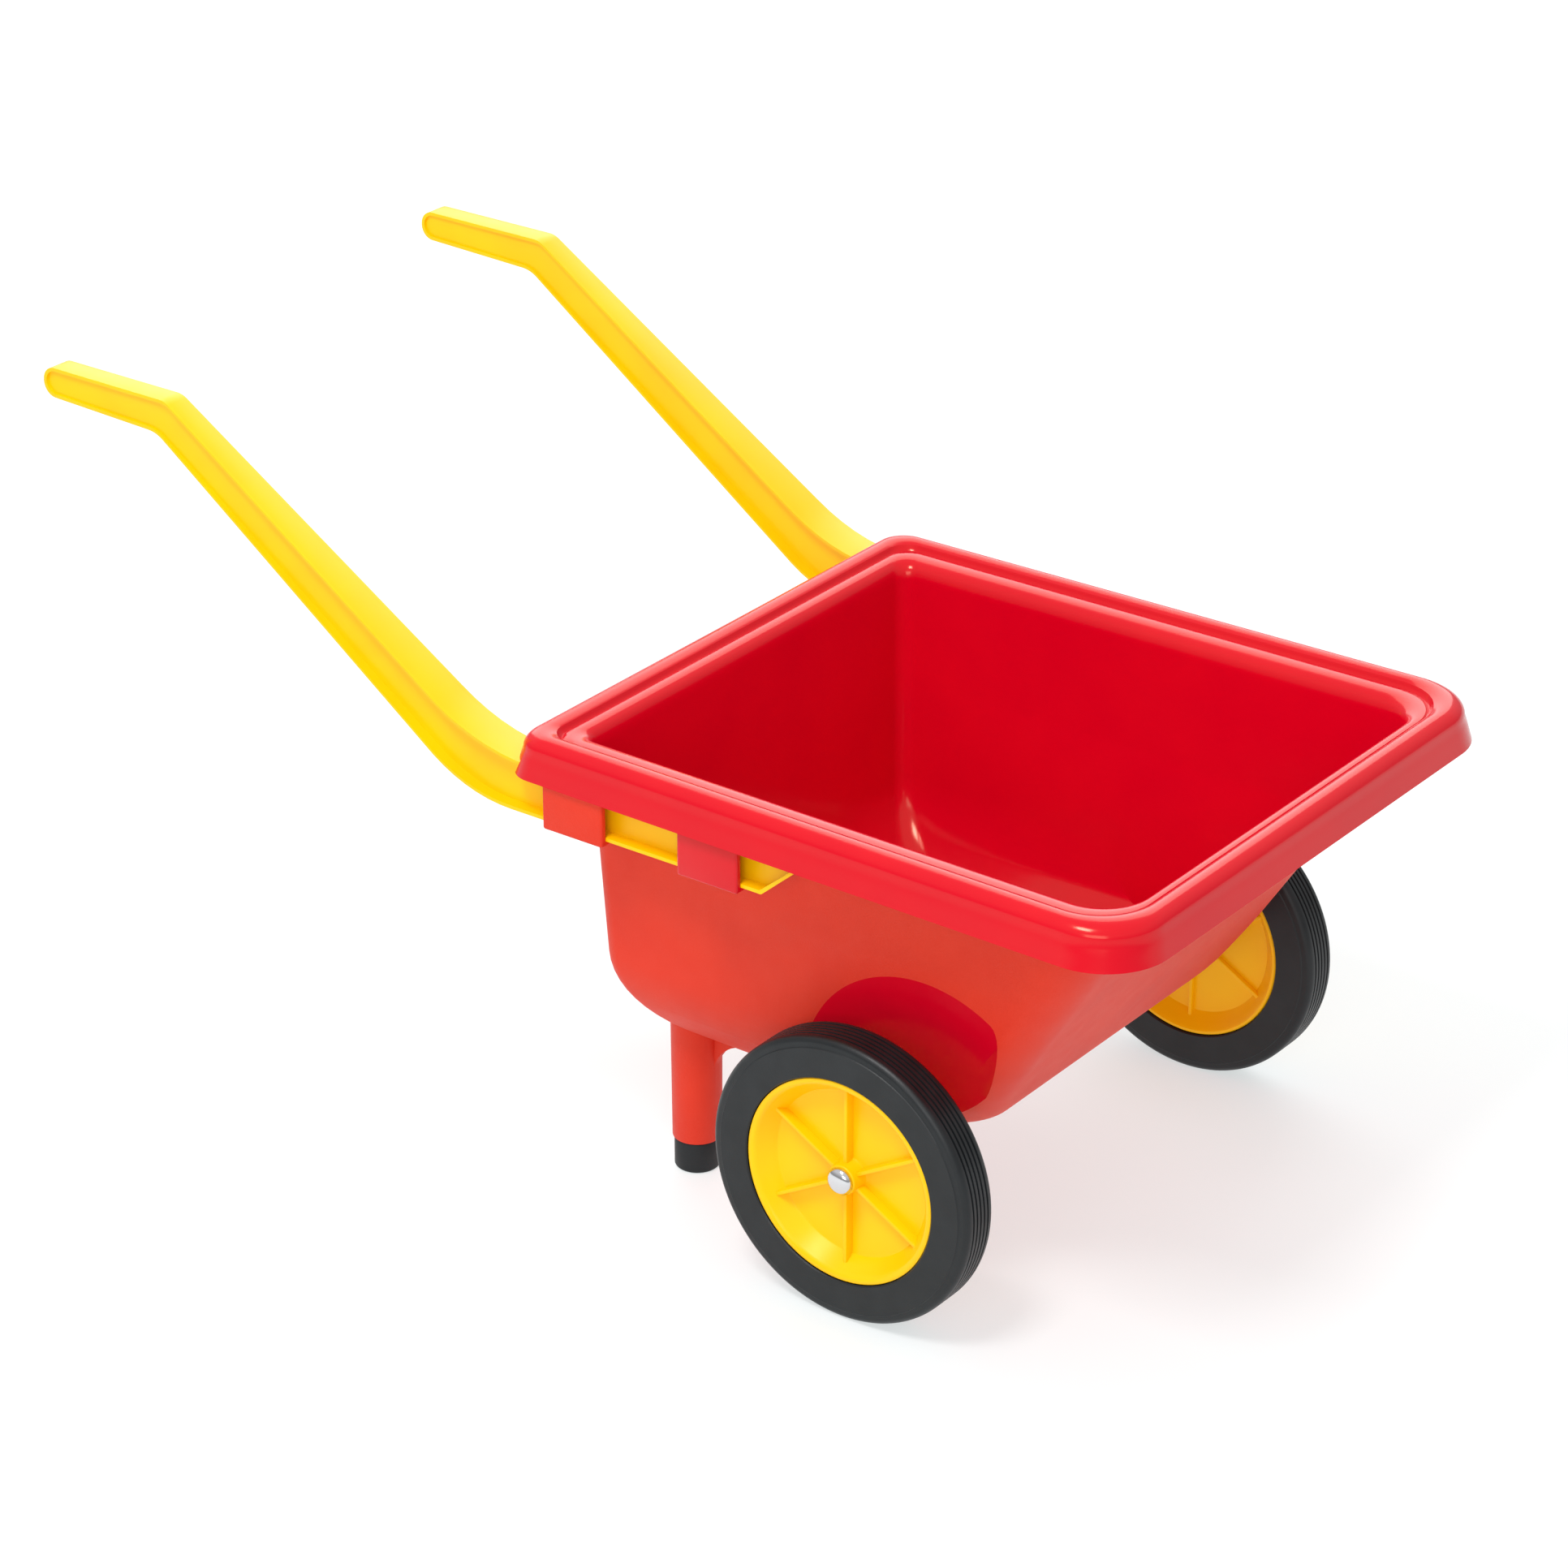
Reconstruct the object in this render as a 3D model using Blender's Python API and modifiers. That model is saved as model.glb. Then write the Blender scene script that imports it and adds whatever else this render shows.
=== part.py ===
"""A two-wheeled toy wheelbarrow: a moulded tub on legs, two push-in handles and two rubber-tyred wheels.

Sizes are in millimetres and become metres where a mesh is made. +Z is up, -Y is the nose, +Y the grips.
The origin is at the middle of the outline, on the floor.
"""

import math

import bmesh
import bpy
from mathutils import Vector

MM = 0.001

# ---------------------------------------------------------------- driving sizes, in millimetres
TYRE_RADIUS = 88.0
TYRE_WIDTH = 27.0
WHEEL_RADIUS = 63.0
WHEEL_WIDTH = 25.0
WHEEL_BEYOND_RIM = 1.0  # how far a wheel's outer plane stands out past the rim's middle width
WHEEL_WEB = 3.0
SEAT_DEPTH = 4.0  # of the groove round the wheel that the tyre sits in
SEAT_IN = 3.5  # from each face of the wheel to that groove
RIB_COUNT = 6
RIB_THICKNESS = 2.6
RIB_HEIGHT = 6.2

AXLE_RADIUS = 4.0
RIM_HALF_WIDTH = 192.0
RIM_LENGTH = 420.0
RIM_FRONT_TO_AXLE = 184.0
RIM_TOP_Z = 296.3
SKIRT_HEIGHT = 24.6
SKIRT_FLARE = 2.0
FRONT_CORNER_RADIUS = 40.0
BACK_CORNER_RADIUS = 17.0
PLAN_TAPER = 0.000076  # share of the width lost for each millimetre towards the grips

WALL = 3.0
LEDGE_SIDE = 36.0  # rim width over the side walls
LEDGE_FRONT = 28.0
LEDGE_BACK = 31.0
SIDE_DRAFT = 0.05
BACK_DRAFT = 0.045
FLOOR_Z = 92.0  # inner face of the floor
BOTTOM_RADIUS = 60.0
NOSE_RADIUS = 60.0
NOSE_CENTRE_TO_AXLE = -4.0

RECESS_FORWARD = 27.0
RECESS_ABOVE_AXLE = 17.0
RECESS_IN = 51.0  # from the rim's edge to the flat bottom of the wheel recess
RECESS_CENTRE_RADIUS = 50.0  # of the recess's flat middle, which its cone-shaped edge surrounds
RECESS_SPREAD = 3.5  # growth of that radius for each millimetre outwards
RECESS_REACH = 25.0  # how far out the recess's cone is carried, past the side wall
CHEEK_RADIUS = 17.0
CHEEK_THICKNESS = 4.6
BOSS_RADIUS = 11.0
AXLE_TUBE_RADIUS = 9.0

HANDLE_IN = 19.5  # from the rim's edge to the handle's middle
HANDLE_REACH = 595.5  # grip end, from the axle
GRIP_TOP_Z = 433.0
GRIP_DEPTH = 20.0
GRIP_LENGTH = 98.0
GRIP_WIDTH = 15.0
BAR_WIDTH = 26.0
BAR_BOTTOM_Z = 247.0
BAR_DEPTH = 31.5
BAR_TIP_TO_AXLE = 59.0
HANDLE_FLANGE = 2.2
HANDLE_WEB = 11.0

SLEEVE_WALL = 3.4
SLEEVES = ((73.0, 115.0), (168.0, 211.0))  # each from and to, behind the axle

LEG_IN = 88.0  # from the rim's edge to the leg's middle
LEG_BEHIND_AXLE = 168.0
LEG_RADIUS_TOP = 15.6
LEG_RADIUS_END = 14.8
LEG_WEB_THICKNESS = 5.0
LEG_WEB_REACH = 26.0  # how far the leg's web runs forward under the floor
LEG_BORE_RADIUS = 9.0
LEG_BORE_DEPTH = 34.0
FOOT_RADIUS = 13.7
FOOT_HEIGHT = 20.0

FIT_GAP = 0.4  # pieces that sit against each other
AXLE_GAP = 0.3
HUB_OVERHANG = 4.0  # how far the hub stands out of the wheel on the inner side
HUB_RECESS = 2.5  # how far the hub stands back from the wheel's outer face
AXLE_BEYOND_HUB = 3.0
WASHER_RADIUS = 9.0
WASHER_THICKNESS = 1.2
CAP_RADIUS = 8.4

# ---------------------------------------------------------------- sizes worked out from them
AXLE_Z = TYRE_RADIUS
AXLE_Y = -(HANDLE_REACH - RIM_FRONT_TO_AXLE - SKIRT_FLARE) / 2
RIM_FRONT = AXLE_Y - RIM_FRONT_TO_AXLE
RIM_BACK = RIM_FRONT + RIM_LENGTH
RIM_MIDDLE = (RIM_FRONT + RIM_BACK) / 2
SKIRT_Z = RIM_TOP_Z - SKIRT_HEIGHT
WALL_TOP_Z = RIM_TOP_Z - 16.3
GROOVE_IN = 18.0
WHEEL_FACE_X = RIM_HALF_WIDTH + WHEEL_BEYOND_RIM
RECESS_PLANE_X = RIM_HALF_WIDTH - RECESS_IN
HANDLE_X = RIM_HALF_WIDTH - HANDLE_IN
LEG_X = RIM_HALF_WIDTH - LEG_IN
SLEEVE_ROOT_X = RIM_HALF_WIDTH - LEDGE_SIDE - 2 * WALL
HUB_INNER_X = WHEEL_FACE_X - WHEEL_WIDTH - HUB_OVERHANG
BOSS_END_X = HUB_INNER_X - WASHER_THICKNESS - 2 * AXLE_GAP
HUB_OUTER_X = WHEEL_FACE_X - HUB_RECESS
AXLE_HALF_LENGTH = HUB_OUTER_X + AXLE_BEYOND_HUB
BAR_TOP_Z = BAR_BOTTOM_Z + BAR_DEPTH
SLEEVE_OUTER_X = HANDLE_X + BAR_WIDTH / 2 + FIT_GAP + SLEEVE_WALL
SLEEVE_BOTTOM_Z = BAR_BOTTOM_Z - FIT_GAP - WALL
LEG_Y = AXLE_Y + LEG_BEHIND_AXLE
RECESS_Y = AXLE_Y - RECESS_FORWARD
RECESS_Z = AXLE_Z + RECESS_ABOVE_AXLE
RECESS_RIM_RADIUS = RECESS_CENTRE_RADIUS + RECESS_SPREAD * RECESS_REACH

CORNER_STEPS = 6
TURN_STEPS = 32
RED = (0.79, 0.028, 0.022)
YELLOW = (1.0, 0.65, 0.0)


# ---------------------------------------------------------------- scene, materials and small helpers
def clear_scene():
    for old in list(bpy.data.objects):
        bpy.data.objects.remove(old, do_unlink=True)


def new_collection(name, hidden=False):
    made = bpy.data.collections.new(name)
    bpy.context.scene.collection.children.link(made)
    made.hide_render = hidden
    return made


def make_material(name, colour, roughness, metallic=0.0):
    made = bpy.data.materials.new(name)
    made.use_nodes = True
    shader = made.node_tree.nodes["Principled BSDF"]
    shader.inputs["Base Color"].default_value = (*colour, 1.0)
    shader.inputs["Roughness"].default_value = roughness
    shader.inputs["Metallic"].default_value = metallic
    made.diffuse_color = (*colour, 1.0)
    return made


def add_object(name, mesh, material, collection):
    made = bpy.data.objects.new(name, mesh)
    collection.objects.link(made)
    if material:
        mesh.materials.append(material)
    return made


def mesh_from(bm, name):
    bmesh.ops.recalc_face_normals(bm, faces=bm.faces)
    mesh = bpy.data.meshes.new(name)
    bm.to_mesh(mesh)
    bm.free()
    return mesh


def smooth(mesh, degrees=35):
    mesh.shade_smooth()
    mesh.set_sharp_from_angle(angle=math.radians(degrees))


def helper(name, mesh, collection):
    """A solid that only shapes another piece."""
    made = add_object(name, mesh, None, collection)
    made.hide_render = True
    made.display_type = "WIRE"
    return made


def box(name, low, high, collection):
    bm = bmesh.new()
    bmesh.ops.create_cube(bm, size=1.0)
    middle = (Vector(low) + Vector(high)) / 2 * MM
    size = (Vector(high) - Vector(low)) * MM
    bmesh.ops.scale(bm, vec=size, verts=bm.verts)
    bmesh.ops.translate(bm, vec=middle, verts=bm.verts)
    return helper(name, mesh_from(bm, name), collection)


def rod(name, start, end, radius, end_radius, collection, steps=TURN_STEPS):
    """A round bar or cone between two points."""
    start = Vector(start) * MM
    end = Vector(end) * MM
    bm = bmesh.new()
    length = (end - start).length
    bmesh.ops.create_cone(
        bm, cap_ends=True, segments=steps, radius1=radius * MM, radius2=end_radius * MM, depth=length
    )
    turn = (end - start).to_track_quat("Z", "Y").to_matrix().to_4x4()
    bmesh.ops.transform(bm, matrix=turn, verts=bm.verts)
    bmesh.ops.translate(bm, vec=(start + end) / 2, verts=bm.verts)
    return helper(name, mesh_from(bm, name), collection)


def combine(target, tool, operation):
    modifier = target.modifiers.new(operation.lower() + "_" + tool.name, "BOOLEAN")
    modifier.operation = operation
    modifier.solver = "EXACT"
    modifier.object = tool


def settle(target):
    """Replaces the object's mesh with the one its modifiers make."""
    bpy.context.view_layer.update()
    graph = bpy.context.evaluated_depsgraph_get()
    finished = bpy.data.meshes.new_from_object(target.evaluated_get(graph))
    target.modifiers.clear()
    target.data = finished


def turned(name, profile, material, collection, steps=TURN_STEPS):
    """A turned piece about its own Z axis: the profile runs down its outer side as (radius, height)."""
    mesh = bpy.data.meshes.new(name)
    points = [(radius * MM, 0.0, height * MM) for radius, height in profile]
    edges = [(i, i + 1) for i in range(len(points) - 1)]
    if profile[0][0] > 0:
        edges.append((len(points) - 1, 0))
    mesh.from_pydata(points, edges, [])
    made = add_object(name, mesh, material, collection)
    screw = made.modifiers.new("turn", "SCREW")
    screw.steps = steps
    screw.render_steps = steps
    screw.use_merge_vertices = True
    screw.merge_threshold = 0.00001
    screw.use_smooth_shade = True
    settle(made)
    smooth(made.data)
    return made


def rounded(corners, steps=5):
    """An outline of (y, z, radius) corners, with each corner turned into an arc."""
    points = []
    count = len(corners)
    for i, (y, z, radius) in enumerate(corners):
        here = Vector((y, z))
        before = (Vector(corners[i - 1][:2]) - here).normalized()
        after = (Vector(corners[(i + 1) % count][:2]) - here).normalized()
        half = before.angle(after) / 2
        if radius <= 0:
            points.append(here)
            continue
        reach = radius / math.tan(half)
        centre = here + (before + after).normalized() * (radius / math.sin(half))
        first = here + before * reach - centre
        last = here + after * reach - centre
        sweep = first.angle_signed(last)
        for k in range(steps + 1):
            angle = -sweep * k / steps
            cos_a, sin_a = math.cos(angle), math.sin(angle)
            spot = Vector((first.x * cos_a - first.y * sin_a, first.x * sin_a + first.y * cos_a))
            points.append(centre + spot)
    return points


def plate(name, outline, half_thickness, collection):
    """A flat plate in the YZ plane, made from a filled outline and given its thickness along X."""
    bm = bmesh.new()
    verts = [bm.verts.new((-half_thickness * MM, y * MM, z * MM)) for y, z in outline]
    face = bm.faces.new(verts)
    grown = bmesh.ops.extrude_face_region(bm, geom=[face], use_keep_orig=True)
    far = [item for item in grown["geom"] if isinstance(item, bmesh.types.BMVert)]
    bmesh.ops.translate(bm, vec=(2 * half_thickness * MM, 0.0, 0.0), verts=far)
    bmesh.ops.remove_doubles(bm, verts=bm.verts, dist=0.000002)
    bmesh.ops.triangulate(bm, faces=bm.faces)
    return helper(name, mesh_from(bm, name), collection)


def moved(target, x):
    for vert in target.data.vertices:
        vert.co.x += x * MM
    return target


# ---------------------------------------------------------------- tub
def plan_ring(bm, half, front, back, front_radius, back_radius, z):
    """One closed ring of the tub: a rounded rectangle that narrows slightly towards the grips."""
    corners = (
        (half - back_radius, back - back_radius, back_radius, 0),
        (-half + back_radius, back - back_radius, back_radius, 90),
        (-half + front_radius, front + front_radius, front_radius, 180),
        (half - front_radius, front + front_radius, front_radius, 270),
    )
    ring = []
    for centre_x, centre_y, radius, start in corners:
        for k in range(CORNER_STEPS + 1):
            angle = math.radians(start + 90 * k / CORNER_STEPS)
            x = centre_x + radius * math.cos(angle)
            y = centre_y + radius * math.sin(angle)
            x *= 1 - PLAN_TAPER * (y - RIM_MIDDLE)
            ring.append(bm.verts.new((x * MM, y * MM, z * MM)))
    return ring


def front_line():
    """Where the straight front wall meets the nose's round: the tangent from the wall's top."""
    top = Vector((RIM_FRONT + LEDGE_FRONT, WALL_TOP_Z))
    centre = Vector((AXLE_Y + NOSE_CENTRE_TO_AXLE, FLOOR_Z + NOSE_RADIUS))
    away = top - centre
    angle = math.atan2(away.y, away.x) + math.acos(NOSE_RADIUS / away.length)
    touch = centre + NOSE_RADIUS * Vector((math.cos(angle), math.sin(angle)))
    return top, touch, centre


def front_y(z):
    top, touch, centre = front_line()
    if z >= touch.y:
        return top.x + (touch.x - top.x) * (top.y - z) / (top.y - touch.y)
    return centre.x - math.sqrt(max(NOSE_RADIUS**2 - (centre.y - z) ** 2, 0.0))


def body_section(z):
    """The inner face of the tub at a height: half width, front, back and both corner radii."""
    round_top = FLOOR_Z + BOTTOM_RADIUS
    inset = 0.0
    if z < round_top:
        inset = BOTTOM_RADIUS - math.sqrt(max(BOTTOM_RADIUS**2 - (round_top - z) ** 2, 0.0))
    drop = WALL_TOP_Z - z
    half = RIM_HALF_WIDTH - LEDGE_SIDE - SIDE_DRAFT * drop - inset
    back = RIM_BACK - LEDGE_BACK - BACK_DRAFT * drop - inset
    front_radius = FRONT_CORNER_RADIUS * 0.7 + 0.2 * inset
    back_radius = BACK_CORNER_RADIUS * 0.6 + 0.3 * inset
    return half, front_y(z), back, front_radius, back_radius


def body_heights():
    """Heights of the body's rings, from the rim down to the floor, closer together on the round bottom."""
    round_top = FLOOR_Z + BOTTOM_RADIUS
    heights = [WALL_TOP_Z, (WALL_TOP_Z + round_top) / 2, round_top]
    steps = 7
    for k in range(1, steps + 1):
        heights.append(round_top - BOTTOM_RADIUS * math.sin(math.radians(90 * k / steps)))
    return heights


def body_rings(bm, grow=0.0):
    """Rings of the inner face, or of a solid that many millimetres larger all round."""
    rings = []
    for z in body_heights():
        half, front, back, front_radius, back_radius = body_section(z)
        rings.append(
            plan_ring(
                bm,
                half + grow,
                front - grow,
                back + grow,
                front_radius + grow,
                back_radius + grow,
                z - grow,
            )
        )
    return rings


def rim_profile():
    """The rim's section as (inward, height, share of the ledge crossed), from the skirt's foot inwards."""
    skirt_top = RIM_TOP_Z - 9.8
    return (
        (-SKIRT_FLARE, SKIRT_Z, 0.0),
        (-0.2, SKIRT_Z + 8.0, 0.0),
        (1.6, skirt_top, 0.0),
        (2.6, RIM_TOP_Z - 5.6, 0.0),
        (5.2, RIM_TOP_Z - 2.1, 0.0),
        (9.0, RIM_TOP_Z - 0.3, 0.0),
        (12.5, RIM_TOP_Z, 0.0),
        (15.8, RIM_TOP_Z - 1.7, 0.0),
        (GROOVE_IN, RIM_TOP_Z - 4.9, 0.0),
        (GROOVE_IN, RIM_TOP_Z - 4.6, 0.12),
        (GROOVE_IN, RIM_TOP_Z - 5.6, 0.62),
        (GROOVE_IN, RIM_TOP_Z - 8.2, 0.84),
        (GROOVE_IN, RIM_TOP_Z - 12.0, 0.97),
    )


def rim_rings(bm):
    rings = []
    for inward, z, share in rim_profile():
        side = inward + share * (LEDGE_SIDE - GROOVE_IN)
        front = inward + share * (LEDGE_FRONT - GROOVE_IN)
        back = inward + share * (LEDGE_BACK - GROOVE_IN)
        across = side / LEDGE_SIDE
        rings.append(
            plan_ring(
                bm,
                RIM_HALF_WIDTH - side,
                RIM_FRONT + front,
                RIM_BACK - back,
                FRONT_CORNER_RADIUS * (1 - 0.3 * across),
                BACK_CORNER_RADIUS * (1 - 0.4 * across),
                z,
            )
        )
    return rings


def loft(bm, rings):
    for upper, lower in zip(rings, rings[1:]):
        for i in range(len(upper)):
            j = (i + 1) % len(upper)
            bm.faces.new((upper[i], upper[j], lower[j], lower[i]))
    bm.faces.new(rings[-1])


def tub_shell(material, collection):
    """The sheet of plastic from the skirt's foot over the rim and down round the floor."""
    bm = bmesh.new()
    loft(bm, rim_rings(bm) + body_rings(bm))
    made = add_object("tub", mesh_from(bm, "tub"), material, collection)
    bm = bmesh.new()
    bm.from_mesh(made.data)
    floor = max(bm.faces, key=lambda face: len(face.verts))
    if floor.normal.z < 0:
        bmesh.ops.reverse_faces(bm, faces=bm.faces)
    bm.to_mesh(made.data)
    bm.free()
    solidify = made.modifiers.new("wall", "SOLIDIFY")
    solidify.thickness = WALL * MM
    solidify.offset = -1.0
    solidify.use_even_offset = True
    return made


def body_core(collection, grow):
    """The tub's hollow as a solid, grown to the middle of the wall, so that additions end inside it."""
    bm = bmesh.new()
    rings = body_rings(bm, grow)
    loft(bm, rings)
    bm.faces.new(list(reversed(rings[0])))
    return helper("core", mesh_from(bm, "core"), collection)


def sleeve_solids(side, collection):
    """The two sleeves under one side of the rim, which hold the handle's bar."""
    made = []
    for start, end in SLEEVES:
        low = (SLEEVE_ROOT_X, AXLE_Y + start, SLEEVE_BOTTOM_Z)
        high = (SLEEVE_OUTER_X, AXLE_Y + end, SKIRT_Z + 1.5)
        block = box("sleeve", low, high, collection)
        bevel = block.modifiers.new("edges", "BEVEL")
        bevel.width = 1.2 * MM
        bevel.segments = 2
        settle(block)
        for vert in block.data.vertices:
            vert.co.x *= side
        if side < 0:
            block.data.flip_normals()
        made.append(block)
    return made


def leg_solids(side, collection):
    """A leg's tapered column and the web that ties it to the bottom of the tub, front and back."""
    x = side * LEG_X
    top = FLOOR_Z + 45.0  # inside the tub, where the core trims it away
    foot_end = (x, LEG_Y, FOOT_HEIGHT + FIT_GAP)
    column = rod("leg", foot_end, (x, LEG_Y, top), LEG_RADIUS_END, LEG_RADIUS_TOP, collection, 28)
    web_low = FLOOR_Z - LEG_WEB_REACH - 1.0
    front = LEG_Y - LEG_RADIUS_TOP
    back = LEG_Y + LEG_RADIUS_TOP
    outline = [(LEG_Y, web_low - 6.0)]
    for k in range(6):
        angle = math.radians(90 * k / 6)
        y = front + 1.5 - LEG_WEB_REACH * (1 - math.cos(angle))
        outline.append((y, web_low + LEG_WEB_REACH * math.sin(angle)))
    outline += [
        (front - LEG_WEB_REACH, FLOOR_Z + 8.0),
        (front - LEG_WEB_REACH, top),
        (back + 9.0, top),
        (back + 9.0, FLOOR_Z + 22.0),
        (back - 1.5, FLOOR_Z - 12.0),
    ]
    web = moved(plate("leg_web", outline, LEG_WEB_THICKNESS / 2, collection), x)
    return [column, web]


def cheek_outline():
    """The plate that hangs from the recess and carries the axle."""
    return rounded(
        (
            (AXLE_Y - 52.0, AXLE_Z + 60.0, 0.0),
            (AXLE_Y - 36.0, AXLE_Z + 34.0, 20.0),
            (AXLE_Y - CHEEK_RADIUS - 4, AXLE_Z - 8.0, 12.0),
            (AXLE_Y, AXLE_Z - CHEEK_RADIUS - 5, 14.0),
            (AXLE_Y + CHEEK_RADIUS + 4, AXLE_Z - 8.0, 12.0),
            (AXLE_Y + 50.0, AXLE_Z + 34.0, 20.0),
            (AXLE_Y + 62.0, AXLE_Z + 60.0, 0.0),
        )
    )


def recess_cone(name, side, start_x, collection):
    """The shallow cone of a wheel's recess, or of the wall behind it, opening outwards from start_x."""
    low = (side * start_x, RECESS_Y, RECESS_Z)
    high = (side * (start_x + RECESS_REACH), RECESS_Y, RECESS_Z)
    return rod(name, low, high, RECESS_CENTRE_RADIUS, RECESS_RIM_RADIUS, collection, 56)


def cheek_solid(side, collection):
    half = CHEEK_THICKNESS / 2
    cheek = plate("cheek", cheek_outline(), half, collection)
    return moved(cheek, side * (RECESS_PLANE_X - WALL + half))


def boss_solid(side, collection):
    """The boss on the cheek that the washer and the wheel's hub run against."""
    root = (side * (RECESS_PLANE_X - WALL - 1.0), AXLE_Y, AXLE_Z)
    end = (side * BOSS_END_X, AXLE_Y, AXLE_Z)
    return rod("boss", root, end, BOSS_RADIUS + 1.0, BOSS_RADIUS, collection, 28)


def across(name, half_length, radius, collection):
    """A round bar on the axle's line, as long each way from the middle."""
    low = (-half_length, AXLE_Y, AXLE_Z)
    high = (half_length, AXLE_Y, AXLE_Z)
    return rod(name, low, high, radius, radius, collection, 24)


def tub_cutters(side, collection):
    """What is cut from one side of the tub: the wheel's recess, the bar's way and the foot's bore."""
    recess = recess_cone("recess", side, RECESS_PLANE_X, collection)
    bar_way = plate("bar_way", rounded(handle_corners(-FIT_GAP), 7), BAR_WIDTH / 2 + FIT_GAP, collection)
    moved(bar_way, side * HANDLE_X)
    low = (side * LEG_X, LEG_Y, 0.0)
    high = (side * LEG_X, LEG_Y, FOOT_HEIGHT + LEG_BORE_DEPTH)
    leg_bore = rod("leg_bore", low, high, LEG_BORE_RADIUS, LEG_BORE_RADIUS, collection, 28)
    return [recess, bar_way, leg_bore]


def make_tub(material, parts, tools):
    tub = tub_shell(material, parts)
    settle(tub)
    core = body_core(tools, WALL / 2)
    additions = []
    for side in (1, -1):
        additions += sleeve_solids(side, tools)
        additions += leg_solids(side, tools)
        additions.append(cheek_solid(side, tools))
    for piece in additions:
        combine(piece, core, "DIFFERENCE")
        settle(piece)
    for side in (1, -1):
        pocket = recess_cone("pocket", side, RECESS_PLANE_X - WALL, tools)
        combine(pocket, core, "INTERSECT")
        settle(pocket)
        additions.append(pocket)
    additions.append(across("axle_tube", RECESS_PLANE_X - 1.0, AXLE_TUBE_RADIUS, tools))
    for piece in additions:
        combine(tub, piece, "UNION")
    settle(tub)
    for side in (1, -1):
        for cutter in tub_cutters(side, tools):
            combine(tub, cutter, "DIFFERENCE")
    settle(tub)
    for side in (1, -1):
        combine(tub, boss_solid(side, tools), "UNION")
    bore = across("axle_bore", BOSS_END_X + 5.0, AXLE_RADIUS + AXLE_GAP, tools)
    combine(tub, bore, "DIFFERENCE")
    settle(tub)
    smooth(tub.data, 32)


# ---------------------------------------------------------------- handles
def handle_corners(inward=0.0):
    """The handle's outline in side view, or one that many millimetres inside it."""
    end = AXLE_Y + HANDLE_REACH - inward
    arm_rise = 0.652
    grip_top = GRIP_TOP_Z - inward
    grip_low = GRIP_TOP_Z - GRIP_DEPTH + inward
    top = BAR_TOP_Z - inward
    low = BAR_BOTTOM_Z + inward
    bend = AXLE_Y + HANDLE_REACH - GRIP_LENGTH
    lean = 0.31 * inward
    knee_top = bend - (GRIP_TOP_Z - BAR_TOP_Z) / arm_rise
    knee_low = bend + 6.0 - (GRIP_TOP_Z - GRIP_DEPTH - 1.5 - BAR_BOTTOM_Z) / 0.7
    tip = AXLE_Y + BAR_TIP_TO_AXLE
    tip_run = BAR_DEPTH * 1.15
    return (
        (end, grip_top, max(9.0 - inward, 2.0)),
        (bend - lean, grip_top, 14.0),
        (knee_top - lean, top, 130.0),
        (tip - tip_run + 2.2 * inward, top, 1.0),
        (tip + 0.5 * inward, low, 2.0),
        (knee_low + lean, low, 100.0),
        (bend + 8.0 + lean, grip_low - 1.5, 22.0),
        (end, grip_low + 1.5, max(9.0 - inward, 2.0)),
    )


def handle_width(y):
    """The handle is narrow at the grip and widens down the arm to the bar."""
    bend = (AXLE_Y + HANDLE_REACH - GRIP_LENGTH) * MM
    knee = (AXLE_Y + 300.0) * MM
    share = min(max((bend + 0.008 - y) / (bend + 0.008 - knee), 0.0), 1.0)
    share = share * (1.4 - 0.4 * share)
    return GRIP_WIDTH + (BAR_WIDTH - GRIP_WIDTH) * min(share, 1.0)


def make_handle(name, side, material, parts, tools):
    steps = 7
    handle = plate(name, rounded(handle_corners(), steps), BAR_WIDTH / 2, tools)
    for vert in handle.data.vertices:
        vert.co.x *= handle_width(vert.co.y) / BAR_WIDTH
    pocket_outline = rounded(handle_corners(HANDLE_FLANGE), steps)
    depth = BAR_WIDTH / 2
    for face in (1, -1):
        pocket = plate("handle_pocket", pocket_outline, depth / 2, tools)
        moved(pocket, face * (HANDLE_WEB / 2 + depth / 2))
        combine(handle, pocket, "DIFFERENCE")
    settle(handle)
    moved(handle, side * HANDLE_X)
    mesh = handle.data
    bpy.data.objects.remove(handle)
    add_object(name, mesh, material, parts)
    smooth(mesh, 30)


# ---------------------------------------------------------------- wheels and axle
def wheel_profile():
    """The wheel's section as (radius, distance in from its outer face)."""
    bore = AXLE_RADIUS - 1.0  # the hub is bored to size after the ribs cross it
    lip = WHEEL_RADIUS
    width = WHEEL_WIDTH
    web_out = width / 2
    web_in = web_out + WHEEL_WEB
    hub_end = width + HUB_OVERHANG
    return (
        (bore, HUB_RECESS),
        (8.6, HUB_RECESS),
        (9.6, HUB_RECESS + 1.1),
        (10.4, web_out),
        (lip - 11.5, web_out),
        (lip - 6.5, 7.0),
        (lip - 3.4, 0.8),
        (lip - 2.2, 0.0),
        (lip - 0.6, 0.0),
        (lip, 0.6),
        (lip, SEAT_IN - 1.0),
        (lip - SEAT_DEPTH, SEAT_IN),
        (lip - SEAT_DEPTH, width - SEAT_IN),
        (lip, width - SEAT_IN + 1.0),
        (lip, width - 0.6),
        (lip - 0.6, width),
        (lip - 2.2, width),
        (lip - 3.4, width - 0.8),
        (lip - 6.5, width - 5.0),
        (lip - 11.5, web_in),
        (10.4, web_in),
        (9.6, hub_end),
        (bore, hub_end),
    )


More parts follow.
